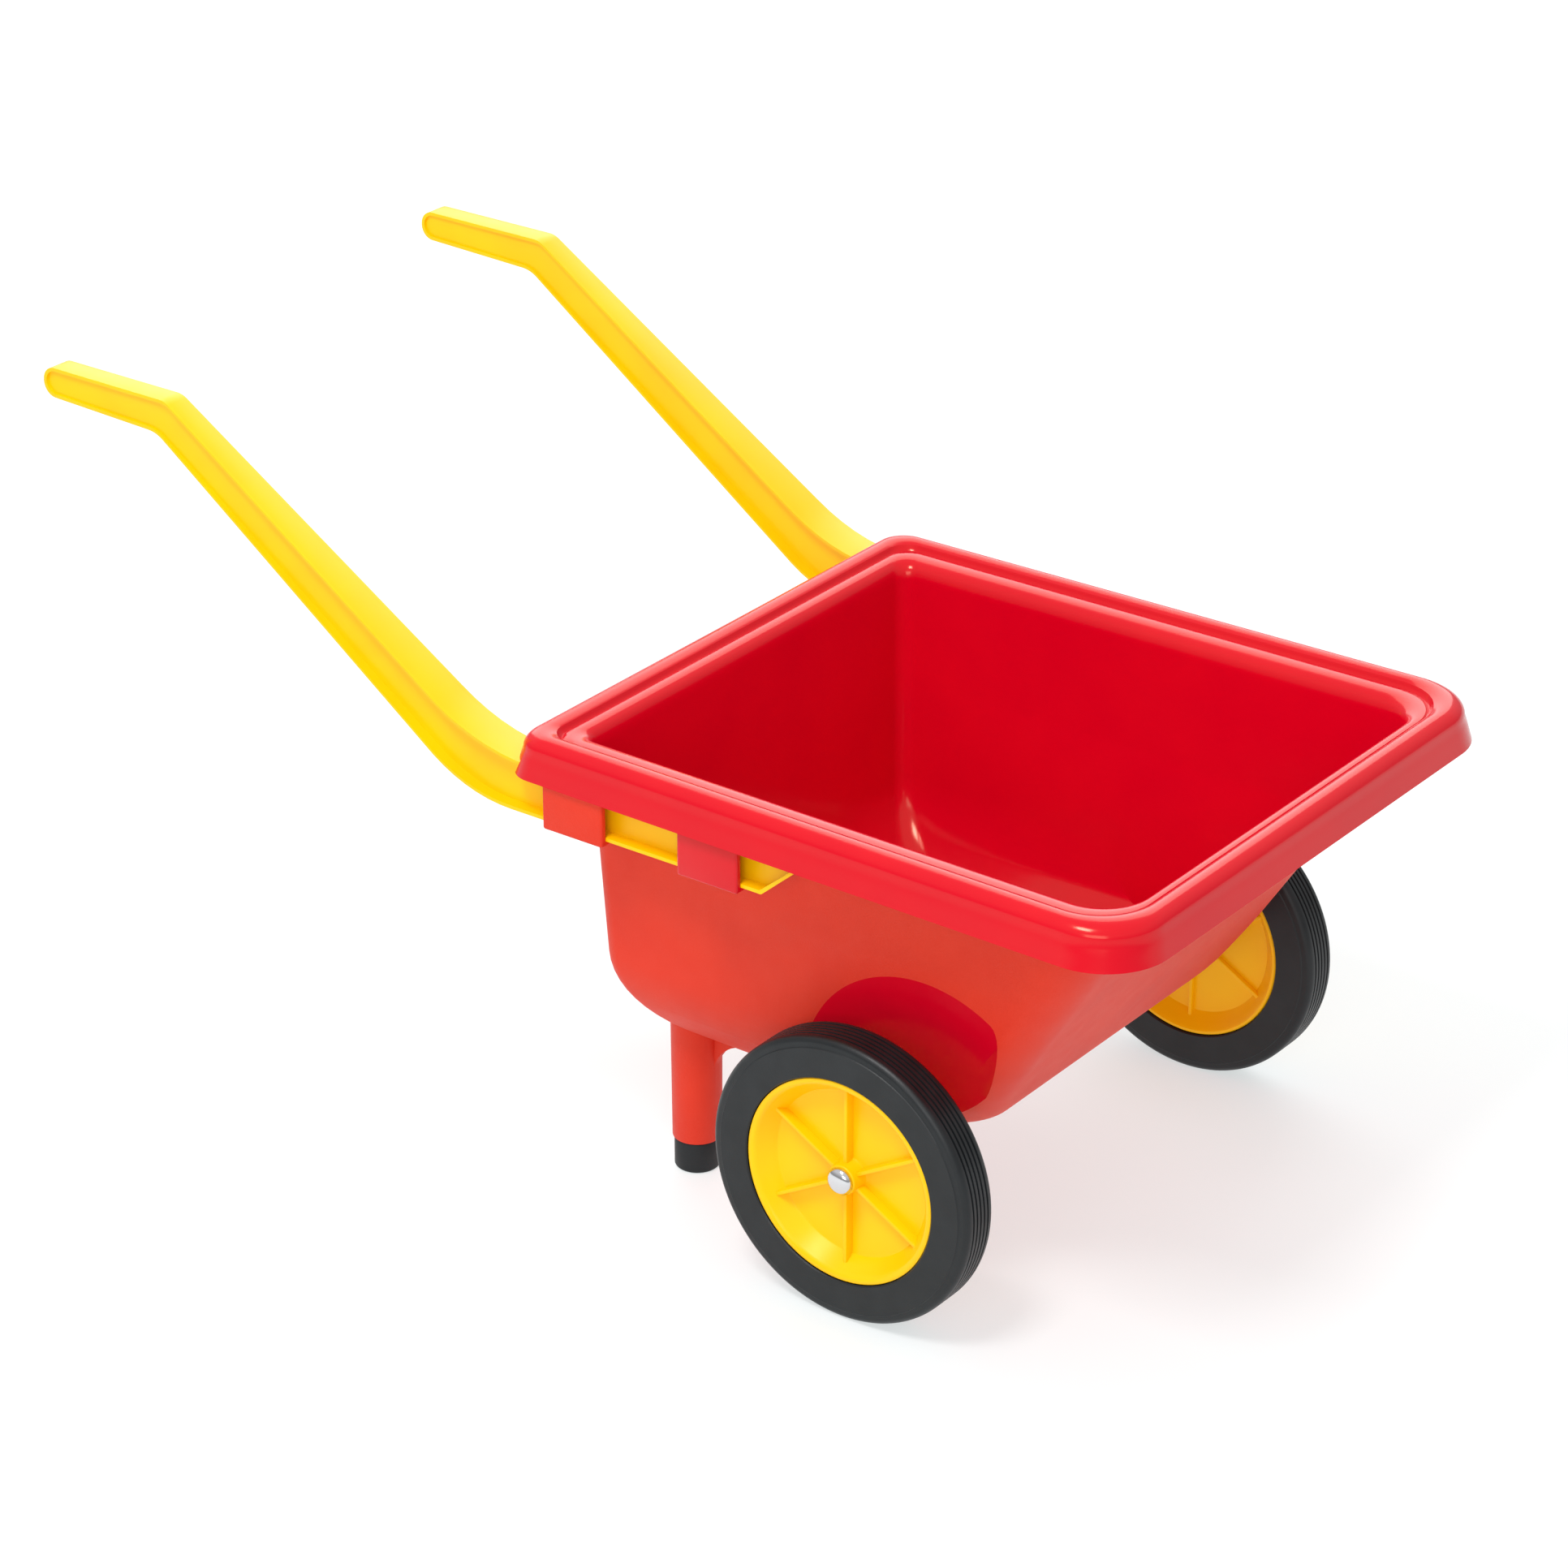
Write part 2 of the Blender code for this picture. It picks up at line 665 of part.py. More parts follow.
def tyre_profile():
    """The tyre's section as (radius, distance in from the wheel's outer face)."""
    seat = WHEEL_RADIUS - SEAT_DEPTH + FIT_GAP
    lip = WHEEL_RADIUS + FIT_GAP
    out = -(TYRE_WIDTH - WHEEL_WIDTH) / 2
    top = TYRE_RADIUS
    half = (
        (seat, SEAT_IN + FIT_GAP),
        (lip, SEAT_IN - 1.0 + FIT_GAP),
        (lip, out + 0.8),
        (lip + 0.8, out),
        (top - 7.5, out),
        (top - 6.3, out + 0.9),
        (top - 3.4, out + 2.6),
        (top - 1.2, out + 5.6),
        (top, out + 10.0),
    )
    other = [(radius, WHEEL_WIDTH - x) for radius, x in reversed(half)]
    return (*half, *other)


def on_axle(piece, side, parent):
    """Turns a piece made about Z so that its axis is the axle and its outer face looks outwards."""
    for vert in piece.data.vertices:
        radius_x, radius_y, inward = vert.co
        vert.co = (side * (WHEEL_FACE_X * MM - inward), radius_y, radius_x)
    bm = bmesh.new()
    bm.from_mesh(piece.data)
    bmesh.ops.recalc_face_normals(bm, faces=bm.faces)
    bm.to_mesh(piece.data)
    bm.free()
    piece.location = (0.0, AXLE_Y * MM, AXLE_Z * MM)
    if parent:
        piece.parent = parent
        piece.location = (0.0, 0.0, 0.0)


def make_wheel(word, side, yellow, rubber, parts, tools):
    pivot = bpy.data.objects.new(word + "_wheel_pivot", None)
    pivot.location = (0.0, AXLE_Y * MM, AXLE_Z * MM)
    parts.objects.link(pivot)
    disc = turned(word + "_wheel", wheel_profile(), yellow, parts)
    web_out = WHEEL_WIDTH / 2
    reach = WHEEL_RADIUS - 4.8
    for k in range(RIB_COUNT // 2):
        low = (-reach, -RIB_THICKNESS / 2, web_out - RIB_HEIGHT)
        high = (reach, RIB_THICKNESS / 2, web_out + WHEEL_WEB + RIB_HEIGHT / 2)
        rib = box("rib", low, high, tools)
        angle = math.pi * k / (RIB_COUNT // 2) + 0.001
        rib.rotation_euler = (0.0, 0.0, angle)
        combine(disc, rib, "UNION")
    bore_radius = AXLE_RADIUS + AXLE_GAP
    bore_end = WHEEL_WIDTH + HUB_OVERHANG + 5.0
    bore = rod("hub_bore", (0.0, 0.0, -5.0), (0.0, 0.0, bore_end), bore_radius, bore_radius, tools)
    combine(disc, bore, "DIFFERENCE")
    settle(disc)
    smooth(disc.data)
    on_axle(disc, side, pivot)
    tyre = turned(word + "_tyre", tyre_profile(), rubber, parts, 40)
    on_axle(tyre, side, pivot)


def make_axle_set(steel, chrome, parts):
    end = AXLE_HALF_LENGTH
    middle = WHEEL_FACE_X
    profile = (
        (0.0, middle + end),
        (AXLE_RADIUS - 0.6, middle + end),
        (AXLE_RADIUS, middle + end - 0.8),
        (AXLE_RADIUS, middle - end + 0.8),
        (AXLE_RADIUS - 0.6, middle - end),
        (0.0, middle - end),
    )
    axle = turned("axle", profile, steel, parts, 24)
    on_axle(axle, 1, None)
    bore = AXLE_RADIUS + AXLE_GAP
    start = HUB_RECESS - AXLE_GAP
    end = HUB_RECESS - AXLE_BEYOND_HUB - AXLE_GAP
    cap_profile = (
        (0.0, end - 2.0),
        (2.9, end - 1.7),
        (5.6, end - 0.6),
        (7.6, end + 1.2),
        (CAP_RADIUS, start - 0.8),
        (CAP_RADIUS - 0.3, start),
        (bore, start),
        (bore, end),
        (0.0, end),
    )
    near = WHEEL_WIDTH + HUB_OVERHANG + AXLE_GAP
    far = near + WASHER_THICKNESS
    washer_profile = ((bore, near), (WASHER_RADIUS, near), (WASHER_RADIUS, far), (bore, far))
    for word, side in (("left", -1), ("right", 1)):
        cap = turned(word + "_hub_cap", cap_profile, chrome, parts, 28)
        on_axle(cap, side, None)
        washer = turned(word + "_washer", washer_profile, steel, parts, 28)
        on_axle(washer, side, None)


# ---------------------------------------------------------------- feet
def make_foot(name, side, rubber, parts):
    plug = LEG_BORE_RADIUS - FIT_GAP
    top = FOOT_HEIGHT + LEG_BORE_DEPTH - 4.0  # short of the bore's end
    profile = (
        (0.0, top),
        (plug - 1.5, top),
        (plug, top - 2.5),
        (plug, FOOT_HEIGHT),
        (FOOT_RADIUS, FOOT_HEIGHT),
        (FOOT_RADIUS, 1.2),
        (FOOT_RADIUS - 1.2, 0.0),
        (0.0, 0.0),
    )
    foot = turned(name, profile, rubber, parts, 28)
    foot.location = (side * LEG_X * MM, LEG_Y * MM, 0.0)


def main():
    clear_scene()
    parts = new_collection("toy_wheelbarrow")
    tools = new_collection("cutters", hidden=True)
    red = make_material("red_polypropylene", RED, 0.38)
    yellow = make_material("yellow_polypropylene", YELLOW, 0.35)
    rubber = make_material("black_rubber", (0.02, 0.023, 0.026), 0.6)
    steel = make_material("zinc_plated_steel", (0.62, 0.62, 0.6), 0.35, 1.0)
    chrome = make_material("chromed_steel", (0.8, 0.8, 0.8), 0.12, 1.0)
    make_tub(red, parts, tools)
    for word, side in (("left", -1), ("right", 1)):
        make_handle(word + "_handle", side, yellow, parts, tools)
        make_wheel(word, side, yellow, rubber, parts, tools)
        make_foot(word + "_foot", side, rubber, parts)
    make_axle_set(steel, chrome, parts)


main()
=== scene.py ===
# %% [markdown]
# # A moulded toy wheelbarrow
# The real object is a child's push-along barrow: one red moulded tub, two yellow push handles, and two
# rubber-tyred yellow wheels on a steel rod. This lesson loads the solid model, which gives every place and
# size, and then remakes the visible pieces with a finer surface and real finishes.

# %% Load the solid model
import math

import bmesh
import bpy
from mathutils import Matrix, Vector


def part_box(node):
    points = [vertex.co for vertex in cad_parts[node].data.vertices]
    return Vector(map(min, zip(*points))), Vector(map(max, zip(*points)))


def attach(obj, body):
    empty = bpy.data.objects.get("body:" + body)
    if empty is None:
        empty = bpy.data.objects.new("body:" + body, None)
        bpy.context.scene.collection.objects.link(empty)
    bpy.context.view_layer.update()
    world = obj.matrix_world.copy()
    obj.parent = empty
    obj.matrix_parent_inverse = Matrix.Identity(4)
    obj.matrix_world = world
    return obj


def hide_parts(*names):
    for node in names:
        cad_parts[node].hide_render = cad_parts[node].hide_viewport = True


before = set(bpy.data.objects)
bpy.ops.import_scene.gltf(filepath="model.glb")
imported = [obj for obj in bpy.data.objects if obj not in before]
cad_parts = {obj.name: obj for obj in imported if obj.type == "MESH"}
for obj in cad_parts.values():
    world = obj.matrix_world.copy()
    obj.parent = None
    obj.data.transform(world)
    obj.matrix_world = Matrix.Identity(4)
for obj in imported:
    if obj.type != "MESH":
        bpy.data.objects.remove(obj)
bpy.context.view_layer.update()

MM = 0.001

# %% [markdown]
# ## Sizes
# The boxes of the solid parts say where things are. The few sizes that a box can't say, such as the wall's
# thickness or the rim's roll, are named here in millimetres.

# %% Sizes from the frame, in millimetres
SIDES = ((-1, "left"), (1, "right"))


def box_mm(node):
    """The low and high corners of a solid part's box."""
    low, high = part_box(node)
    return low / MM, high / MM


tub_low, tub_high = box_mm("tub")
axle_low, axle_high = box_mm("axle")
AXLE_Y = (axle_low.y + axle_high.y) / 2
AXLE_Z = (axle_low.z + axle_high.z) / 2
SKIRT_FLARE = 2.0  # how far the skirt's foot stands out
PLAN_TAPER = 0.000076  # share of the width lost for each millimetre towards the handles
RIM_FRONT = tub_low.y + SKIRT_FLARE
RIM_BACK = tub_high.y - SKIRT_FLARE
RIM_MIDDLE = (RIM_FRONT + RIM_BACK) / 2
RIM_HALF_WIDTH = 192.0  # at the rim's middle
RIM_TOP_Z = tub_high.z
SKIRT_Z = RIM_TOP_Z - 24.6  # the skirt's foot
WALL_TOP_Z = RIM_TOP_Z - 16.3  # where the ledge turns down into the wall
WALL = 3.0
FLOOR_Z = 92.0  # inner face of the floor
GROOVE_IN = 18.0  # from the rim's edge to the groove inside the bead
LEDGE_SIDE, LEDGE_FRONT, LEDGE_BACK = 36.0, 28.0, 31.0  # from the rim's edge to the wall
FRONT_CORNER, BACK_CORNER = 40.0, 17.0
SIDE_DRAFT, BACK_DRAFT = 0.05, 0.045  # how much a wall closes in for each millimetre down
BOTTOM_RADIUS = 60.0
NOSE_RADIUS = 60.0
NOSE_BEHIND_AXLE = -4.0
RECESS_X = 141.0  # the flat middle of the wheel recess
RECESS_INNER = 50.0  # its radius, from which the cone opens outwards
RECESS_SPREAD = 3.5  # growth of that radius for each millimetre outwards
RECESS_DEEP = 25.0
RECESS_OUTER = RECESS_INNER + RECESS_SPREAD * RECESS_DEEP
RECESS_AT = (AXLE_Y - 27.0, AXLE_Z + 17.0)
print("axle at y", round(AXLE_Y, 1), "z", round(AXLE_Z, 1), "rim top", round(RIM_TOP_Z, 1))

# %% [markdown]
# ## Helpers
# Blender's operators act on whatever is selected, and the loaded parts arrive selected. So each new piece
# begins by deselecting everything. The other helpers apply a modifier, cut or join with a Boolean, give a
# piece its material and hand it to the frame. Each could be written out every time, but a short name reads
# better than four lines of settings.


# %% Helpers for modelling
def only(piece):
    bpy.ops.object.select_all(action="DESELECT")
    piece.select_set(True)
    bpy.context.view_layer.objects.active = piece


def named(name):
    piece = bpy.context.object
    piece.name = name
    piece.data.name = name
    return piece


def apply_modifiers(piece):
    only(piece)
    for modifier in list(piece.modifiers):
        bpy.ops.object.modifier_apply(modifier=modifier.name)


def settle(piece):
    """The place goes into the mesh, so that the object sits unturned at the origin."""
    only(piece)
    bpy.ops.object.transform_apply(location=True, rotation=True, scale=True)


def combine(piece, tool, operation):
    modifier = piece.modifiers.new(operation.lower(), "BOOLEAN")
    modifier.operation = operation
    modifier.solver = "EXACT"
    modifier.object = tool
    apply_modifiers(piece)
    bpy.data.objects.remove(tool)


def bevel(piece, width, segments=3, degrees=30):
    modifier = piece.modifiers.new("edges", "BEVEL")
    modifier.width = width * MM
    modifier.segments = segments
    modifier.limit_method = "ANGLE"
    modifier.angle_limit = math.radians(degrees)
    apply_modifiers(piece)


def shade(piece, degrees=30):
    only(piece)
    bpy.ops.object.shade_smooth_by_angle(angle=math.radians(degrees))


def finish(piece, material, degrees):
    """One material, and smooth shading up to an edge angle."""
    shade(piece, degrees)
    piece.data.materials.clear()
    piece.data.materials.append(material)


def close_mesh(piece):
    """Turns every face of a closed mesh outwards."""
    mesh = bmesh.new()
    mesh.from_mesh(piece.data)
    bmesh.ops.recalc_face_normals(mesh, faces=mesh.faces)
    mesh.to_mesh(piece.data)
    mesh.free()


def edit(piece, mode="VERT"):
    only(piece)
    bpy.ops.object.mode_set(mode="EDIT")
    bpy.ops.mesh.select_mode(type=mode)
    bpy.ops.mesh.select_all(action="SELECT")


def done():
    bpy.ops.object.mode_set(mode="OBJECT")


def add_box(name, low, high):
    """A block between two corners."""
    bpy.ops.object.select_all(action="DESELECT")
    middle = [(a + b) / 2 * MM for a, b in zip(low, high)]
    bpy.ops.mesh.primitive_cube_add(size=1, location=middle)
    piece = named(name)
    piece.scale = [abs(b - a) * MM for a, b in zip(low, high)]
    settle(piece)
    return piece


def add_cone(name, start, end, radius, end_radius, vertices=64):
    """A round bar, or a cone, between two points."""
    bpy.ops.object.select_all(action="DESELECT")
    start = Vector(start) * MM
    end = Vector(end) * MM
    bpy.ops.mesh.primitive_cone_add(
        vertices=vertices,
        radius1=radius * MM,
        radius2=end_radius * MM,
        depth=(end - start).length,
        location=(start + end) / 2,
        rotation=(end - start).to_track_quat("Z", "Y").to_euler(),
    )
    piece = named(name)
    settle(piece)
    return piece


def hand_over(piece, body, node):
    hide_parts(node)
    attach(piece, body)


# %% [markdown]
# ## Colours and node helper
# Paint and plastic colours are picked as sRGB hex values, but shaders work in linear light, so one function
# converts them. One more adds a shader node, with its settings and its links.


# %% Colour and node helpers
def linear(hex_colour):
    channels = [int(hex_colour[i : i + 2], 16) / 255 for i in (1, 3, 5)]
    return [c / 12.92 if c <= 0.04045 else ((c + 0.055) / 1.055) ** 2.4 for c in channels] + [1.0]


def add_node(tree, kind, settings=None, **links):
    """Adds a node. settings are its properties and unlinked inputs, links its linked inputs."""
    node = tree.nodes.new(kind)
    for key, value in (settings or {}).items():
        if hasattr(node, key):
            setattr(node, key, value)
        else:
            node.inputs[key].default_value = value
    for key, output in links.items():
        tree.links.new(output, node.inputs[key.replace("_", " ")])
    return node


def new_material(name, colour, roughness, **sockets):
    material = bpy.data.materials.new(name)
    material.use_nodes = True
    shader = material.node_tree.nodes["Principled BSDF"]
    shader.inputs["Base Color"].default_value = linear(colour)
    shader.inputs["Roughness"].default_value = roughness
    for key, value in sockets.items():
        shader.inputs[key.replace("_", " ")].default_value = value
    place = add_node(material.node_tree, "ShaderNodeTexCoord")
    return material, material.node_tree, shader, place.outputs["Object"]


def bump(tree, shader, height, distance_mm, strength=1.0):
    settings = {"Strength": strength, "Distance": distance_mm * MM}
    node = add_node(tree, "ShaderNodeBump", settings, Height=height)
    tree.links.new(node.outputs["Normal"], shader.inputs["Normal"])


def vary(tree, shader, place, socket, feature_mm, low, high, detail=3.0):
    """A slow change of one number over the surface, as handling and moulding leave it."""
    noise_settings = {"Scale": 1 / (feature_mm * MM), "Detail": detail}
    noise = add_node(tree, "ShaderNodeTexNoise", noise_settings, Vector=place)
    ramp = add_node(tree, "ShaderNodeMapRange", {"To Min": low, "To Max": high}, Value=noise.outputs["Fac"])
    tree.links.new(ramp.outputs["Result"], shader.inputs[socket])


def tint(tree, shader, place, feature_mm, first, second):
    """A slow drift between two close shades of one colour."""
    noise_settings = {"Scale": 1 / (feature_mm * MM), "Detail": 2.0}
    noise = add_node(tree, "ShaderNodeTexNoise", noise_settings, Vector=place)
    ramp = add_node(tree, "ShaderNodeValToRGB", None, Fac=noise.outputs["Fac"])
    ramp.color_ramp.elements[0].position = 0.3
    ramp.color_ramp.elements[1].position = 0.7
    ramp.color_ramp.elements[0].color = linear(first)
    ramp.color_ramp.elements[1].color = linear(second)
    tree.links.new(ramp.outputs["Color"], shader.inputs["Base Color"])


# %% [markdown]
# ## Plastics
# The barrow is injection-moulded polypropylene, a plastic with an IOR of 1.49 that is coloured right
# through. Where the steel mould is polished, the plastic comes out glossy and looks deep in colour. Where
# the mould is spark-eroded, it gets a fine grain about half a millimetre across, which scatters the light
# and makes the same red look paler. An image texture could be wrapped round each piece, but noise in the
# piece's own coordinates has no seams and keeps its real size, so each finish is built from nodes.


# %% Red polypropylene, polished and grained
SALMON = (1.0, 0.72, 0.5, 1.0)  # the warm cast that a thick red moulding gives to its own gloss


def polished_red():
    """Glossy, with the slow waves that cooling leaves in a thick wall."""
    material, tree, shader, place = new_material("polypropylene_polished_red", "#D0001E", 0.2, IOR=1.49)
    tint(tree, shader, place, 60, "#CF0020", "#D40420")
    vary(tree, shader, place, "Roughness", 25, 0.12, 0.2)
    shader.inputs["Specular Tint"].default_value = SALMON
    waviness = add_node(tree, "ShaderNodeTexNoise", {"Scale": 1 / (18 * MM), "Detail": 1.0}, Vector=place)
    bump(tree, shader, waviness.outputs["Fac"], 0.12, 0.5)
    return material


def grained_red():
    """Matt. The grain is drawn nearly twice its real size, because half a millimetre would not show."""
    material, tree, shader, place = new_material("polypropylene_spark_grain_red", "#DE2A24", 0.55, IOR=1.49)
    tint(tree, shader, place, 45, "#DA2A16", "#E0301A")
    vary(tree, shader, place, "Roughness", 12, 0.48, 0.6)
    shader.inputs["Specular Tint"].default_value = SALMON
    grain_settings = {"Scale": 1 / (0.9 * MM), "Detail": 3.0, "Roughness": 0.65}
    grain = add_node(tree, "ShaderNodeTexNoise", grain_settings, Vector=place)
    bump(tree, shader, grain.outputs["Fac"], 0.25, 0.8)
    return material


def yellow_plastic():
    """Satin, from a mould that was stoned and not polished."""
    material, tree, shader, place = new_material("polypropylene_yellow", "#FFC300", 0.36, IOR=1.4)
    tint(tree, shader, place, 50, "#FFC100", "#FFC900")
    vary(tree, shader, place, "Roughness", 15, 0.28, 0.4)
    shader.inputs["Specular Tint"].default_value = (1.0, 0.92, 0.6, 1.0)
    waviness = add_node(tree, "ShaderNodeTexNoise", {"Scale": 1 / (6 * MM), "Detail": 2.0}, Vector=place)
    bump(tree, shader, waviness.outputs["Fac"], 0.06, 0.5)
    return material


# %% [markdown]
# ## Rubber and metal
# Tyres and feet are black rubber with a dusty, slightly blue bloom and fine pores. The caps are pressed
# steel with a chrome plating, so they are almost a mirror. The rod and washers are zinc plated and duller.
# One function makes both rubbers and one makes both metals, because only their numbers differ.


# %% Rubber, chrome and zinc
def rubber(name, rough):
    material, tree, shader, place = new_material(name, "#101417", rough, IOR=1.45)
    tint(tree, shader, place, 20, "#0C1013", "#15191C")
    vary(tree, shader, place, "Roughness", 8, rough - 0.08, rough + 0.08)
    pores = add_node(tree, "ShaderNodeTexNoise", {"Scale": 1 / (1.2 * MM), "Detail": 4.0}, Vector=place)
    bump(tree, shader, pores.outputs["Fac"], 0.12, 0.4)
    return material


def plated(name, colour, rough):
    material, tree, shader, place = new_material(name, colour, rough, Metallic=1.0)
    vary(tree, shader, place, "Roughness", 4, rough, rough + 0.1)
    return material


RED_POLISHED = polished_red()
RED_GRAINED = grained_red()
YELLOW = yellow_plastic()
TYRE_RUBBER = rubber("vulcanised_rubber_tyre", 0.42)
FOOT_RUBBER = rubber("moulded_rubber_foot", 0.55)
CHROME = plated("chrome_plated_steel", "#D9D9DC", 0.08)
ZINC = plated("zinc_plated_steel", "#B9BBBC", 0.3)

# %% [markdown]
# ## The tub's sheet
# The tub is one sheet of plastic that turns up over the rim and down round the floor. It could be a box
# with its edges bevelled, but the nose, the rolled rim and the growing corners would be lost. So a flat
# ring of vertices is extruded again and again, and after each extrusion the new ring is given its own
# width, length and corner radii, which plain scaling wouldn't do. Solidify then gives the sheet its wall.

# %% Plan of one ring
CORNER_STEPS = 16
RING_COUNT = 4 * (CORNER_STEPS + 1)


def plan(half, front, back, front_radius, back_radius):
    """Points of a rounded rectangle that narrows slightly towards the handles."""
    corners = (
        (half - back_radius, back - back_radius, back_radius, 0),
        (-half + back_radius, back - back_radius, back_radius, 90),
        (-half + front_radius, front + front_radius, front_radius, 180),
        (half - front_radius, front + front_radius, front_radius, 270),
    )
    points = []
    for centre_x, centre_y, radius, start in corners:
        for k in range(CORNER_STEPS + 1):
            angle = math.radians(start + 90 * k / CORNER_STEPS)
            y = centre_y + radius * math.sin(angle)
            x = (centre_x + radius * math.cos(angle)) * (1 - PLAN_TAPER * (y - RIM_MIDDLE))
            points.append((x, y))
    return points


def nose_y(z):
    """The front wall: a straight slope that runs on into the nose's round."""
    top = Vector((RIM_FRONT + LEDGE_FRONT, WALL_TOP_Z))
    centre = Vector((AXLE_Y + NOSE_BEHIND_AXLE, FLOOR_Z + NOSE_RADIUS))
    away = top - centre
    angle = math.atan2(away.y, away.x) + math.acos(NOSE_RADIUS / away.length)
    touch = centre + NOSE_RADIUS * Vector((math.cos(angle), math.sin(angle)))
    if z >= touch.y:
        return top.x + (touch.x - top.x) * (top.y - z) / (top.y - touch.y)
    return centre.x - math.sqrt(max(NOSE_RADIUS**2 - (centre.y - z) ** 2, 0.0))


def body_plan(z, grow=0.0):
    """The wall's inner face at a height, or a plan that many millimetres larger all round."""
    round_top = FLOOR_Z + BOTTOM_RADIUS
    inset = 0.0
    if z < round_top:
        inset = BOTTOM_RADIUS - math.sqrt(max(BOTTOM_RADIUS**2 - (round_top - z) ** 2, 0.0))
    drop = WALL_TOP_Z - z
    half = RIM_HALF_WIDTH - LEDGE_SIDE - SIDE_DRAFT * drop - inset
    back = RIM_BACK - LEDGE_BACK - BACK_DRAFT * drop - inset
    front_radius = FRONT_CORNER * 0.7 + 0.2 * inset
    back_radius = BACK_CORNER * 0.6 + 0.3 * inset
    return half + grow, nose_y(z) - grow, back + grow, front_radius + grow, back_radius + grow


def body_levels(steps=16):
    """Heights of the body's rings, close together on the round bottom."""
    round_top = FLOOR_Z + BOTTOM_RADIUS
    heights = [WALL_TOP_Z - k * (WALL_TOP_Z - round_top) / 4 for k in range(5)]
    for k in range(1, steps + 1):
        heights.append(round_top - BOTTOM_RADIUS * math.sin(math.radians(90 * k / steps)))
    return heights


def arc(centre, radius, start, end, steps):
    """Points of an arc from one angle to another, in degrees."""
    angles = [math.radians(start + (end - start) * k / steps) for k in range(steps + 1)]
    return [(centre[0] + radius * math.cos(a), centre[1] + radius * math.sin(a)) for a in angles]


# %% Section of the rim
def rim_levels():
    """(inward, height, share of the ledge crossed) from the skirt's foot, over the bead, to the wall."""
    top = RIM_TOP_Z
    levels = [(-SKIRT_FLARE, SKIRT_Z, 0.0), (-1.6, SKIRT_Z + 1.6, 0.0), (-0.9, SKIRT_Z + 4.5, 0.0)]
    levels += [(-0.1, SKIRT_Z + 8.0, 0.0), (0.9, SKIRT_Z + 12.0, 0.0), (1.9, top - 9.0, 0.0)]
    levels += [(u, top - 9.0 + z, 0.0) for u, z in arc((10.8, 0.0), 9.0, 168, 52, 10)]
    levels += [(GROOVE_IN - 0.9, top - 3.6, 0.0), (GROOVE_IN - 0.3, top - 5.0, 0.0)]
    levels += [(GROOVE_IN, top - 5.6, 0.02)]
    levels += [(GROOVE_IN, top - 5.4, 0.08), (GROOVE_IN, top - 4.5, 0.15), (GROOVE_IN, top - 4.2, 0.3)]
    levels += [(GROOVE_IN, top - 4.5, 0.5), (GROOVE_IN, top - 5.3, 0.66), (GROOVE_IN, top - 7.0, 0.81)]
    levels += [(GROOVE_IN, top - 9.6, 0.91), (GROOVE_IN, top - 12.6, 0.975)]
    return levels


def rim_plan(inward, share):
    """The rim's ring at a distance in from its edge. Its ledge is narrower at the front and back."""
    side = inward + share * (LEDGE_SIDE - GROOVE_IN)
    across = side / LEDGE_SIDE
    return (
        RIM_HALF_WIDTH - side,
        RIM_FRONT + inward + share * (LEDGE_FRONT - GROOVE_IN),
        RIM_BACK - inward - share * (LEDGE_BACK - GROOVE_IN),
        FRONT_CORNER * (1 - 0.3 * across),
        BACK_CORNER * (1 - 0.4 * across),
    )


def ring_levels():
    levels = [(z, rim_plan(inward, share)) for inward, z, share in rim_levels()]
    return levels + [(z, body_plan(z)) for z in body_levels()]


# %% Extrude the rings
def shape_ring(mesh, z, sizes):
    """Moves the selected ring onto its plan: both go round in the same order."""
    points = plan(*sizes)
    middle = (sizes[1] + sizes[2]) / 2
    chosen = [v for v in mesh.verts if v.select]
    centre = sum((v.co for v in chosen), Vector()) / len(chosen)
    chosen.sort(key=lambda v: math.atan2(v.co.y - centre.y, v.co.x))
    points.sort(key=lambda p: math.atan2(p[1] - middle, p[0]))
    for vert, (x, y) in zip(chosen, points):
        vert.co = (x * MM, y * MM, z * MM)


def ring_stack(name, levels):
    """A closed stack of rings, one for each (height, plan sizes)."""
    bpy.ops.object.select_all(action="DESELECT")
    turn = math.pi / RING_COUNT
    bpy.ops.mesh.primitive_circle_add(
        vertices=RING_COUNT,
        radius=0.1,
        fill_type="NGON",
        location=(0, RIM_MIDDLE * MM, 0),
        rotation=(0, 0, turn),
    )
    piece = named(name)
    settle(piece)
    edit(piece, "FACE")
    for k, (z, sizes) in enumerate(levels):
        if k:
            bpy.ops.mesh.extrude_region_move(TRANSFORM_OT_translate={"value": (0, 0, -MM)})
        mesh = bmesh.from_edit_mesh(piece.data)
        shape_ring(mesh, z, sizes)
        bmesh.update_edit_mesh(piece.data)
    done()
    return piece


def open_foot(piece, z):
    """Takes away the first face, which closes the skirt's foot."""
    edit(piece, "FACE")
    bpy.ops.mesh.select_all(action="DESELECT")
    mesh = bmesh.from_edit_mesh(piece.data)
    for face in mesh.faces:
        face.select = len(face.verts) > 8 and abs(face.calc_center_median().z - z * MM) < 0.0001
    bmesh.update_edit_mesh(piece.data)
    bpy.ops.mesh.delete(type="FACE")
    done()


def point_floor_up(piece):
    """The sheet is open, so the side that Solidify thickens is chosen by the floor, its largest face."""
    mesh = bmesh.new()
    mesh.from_mesh(piece.data)
    bmesh.ops.recalc_face_normals(mesh, faces=mesh.faces)
    floor = max(mesh.faces, key=lambda face: len(face.verts))
    if floor.normal.z < 0:
        bmesh.ops.reverse_faces(mesh, faces=mesh.faces)
    mesh.to_mesh(piece.data)
    mesh.free()


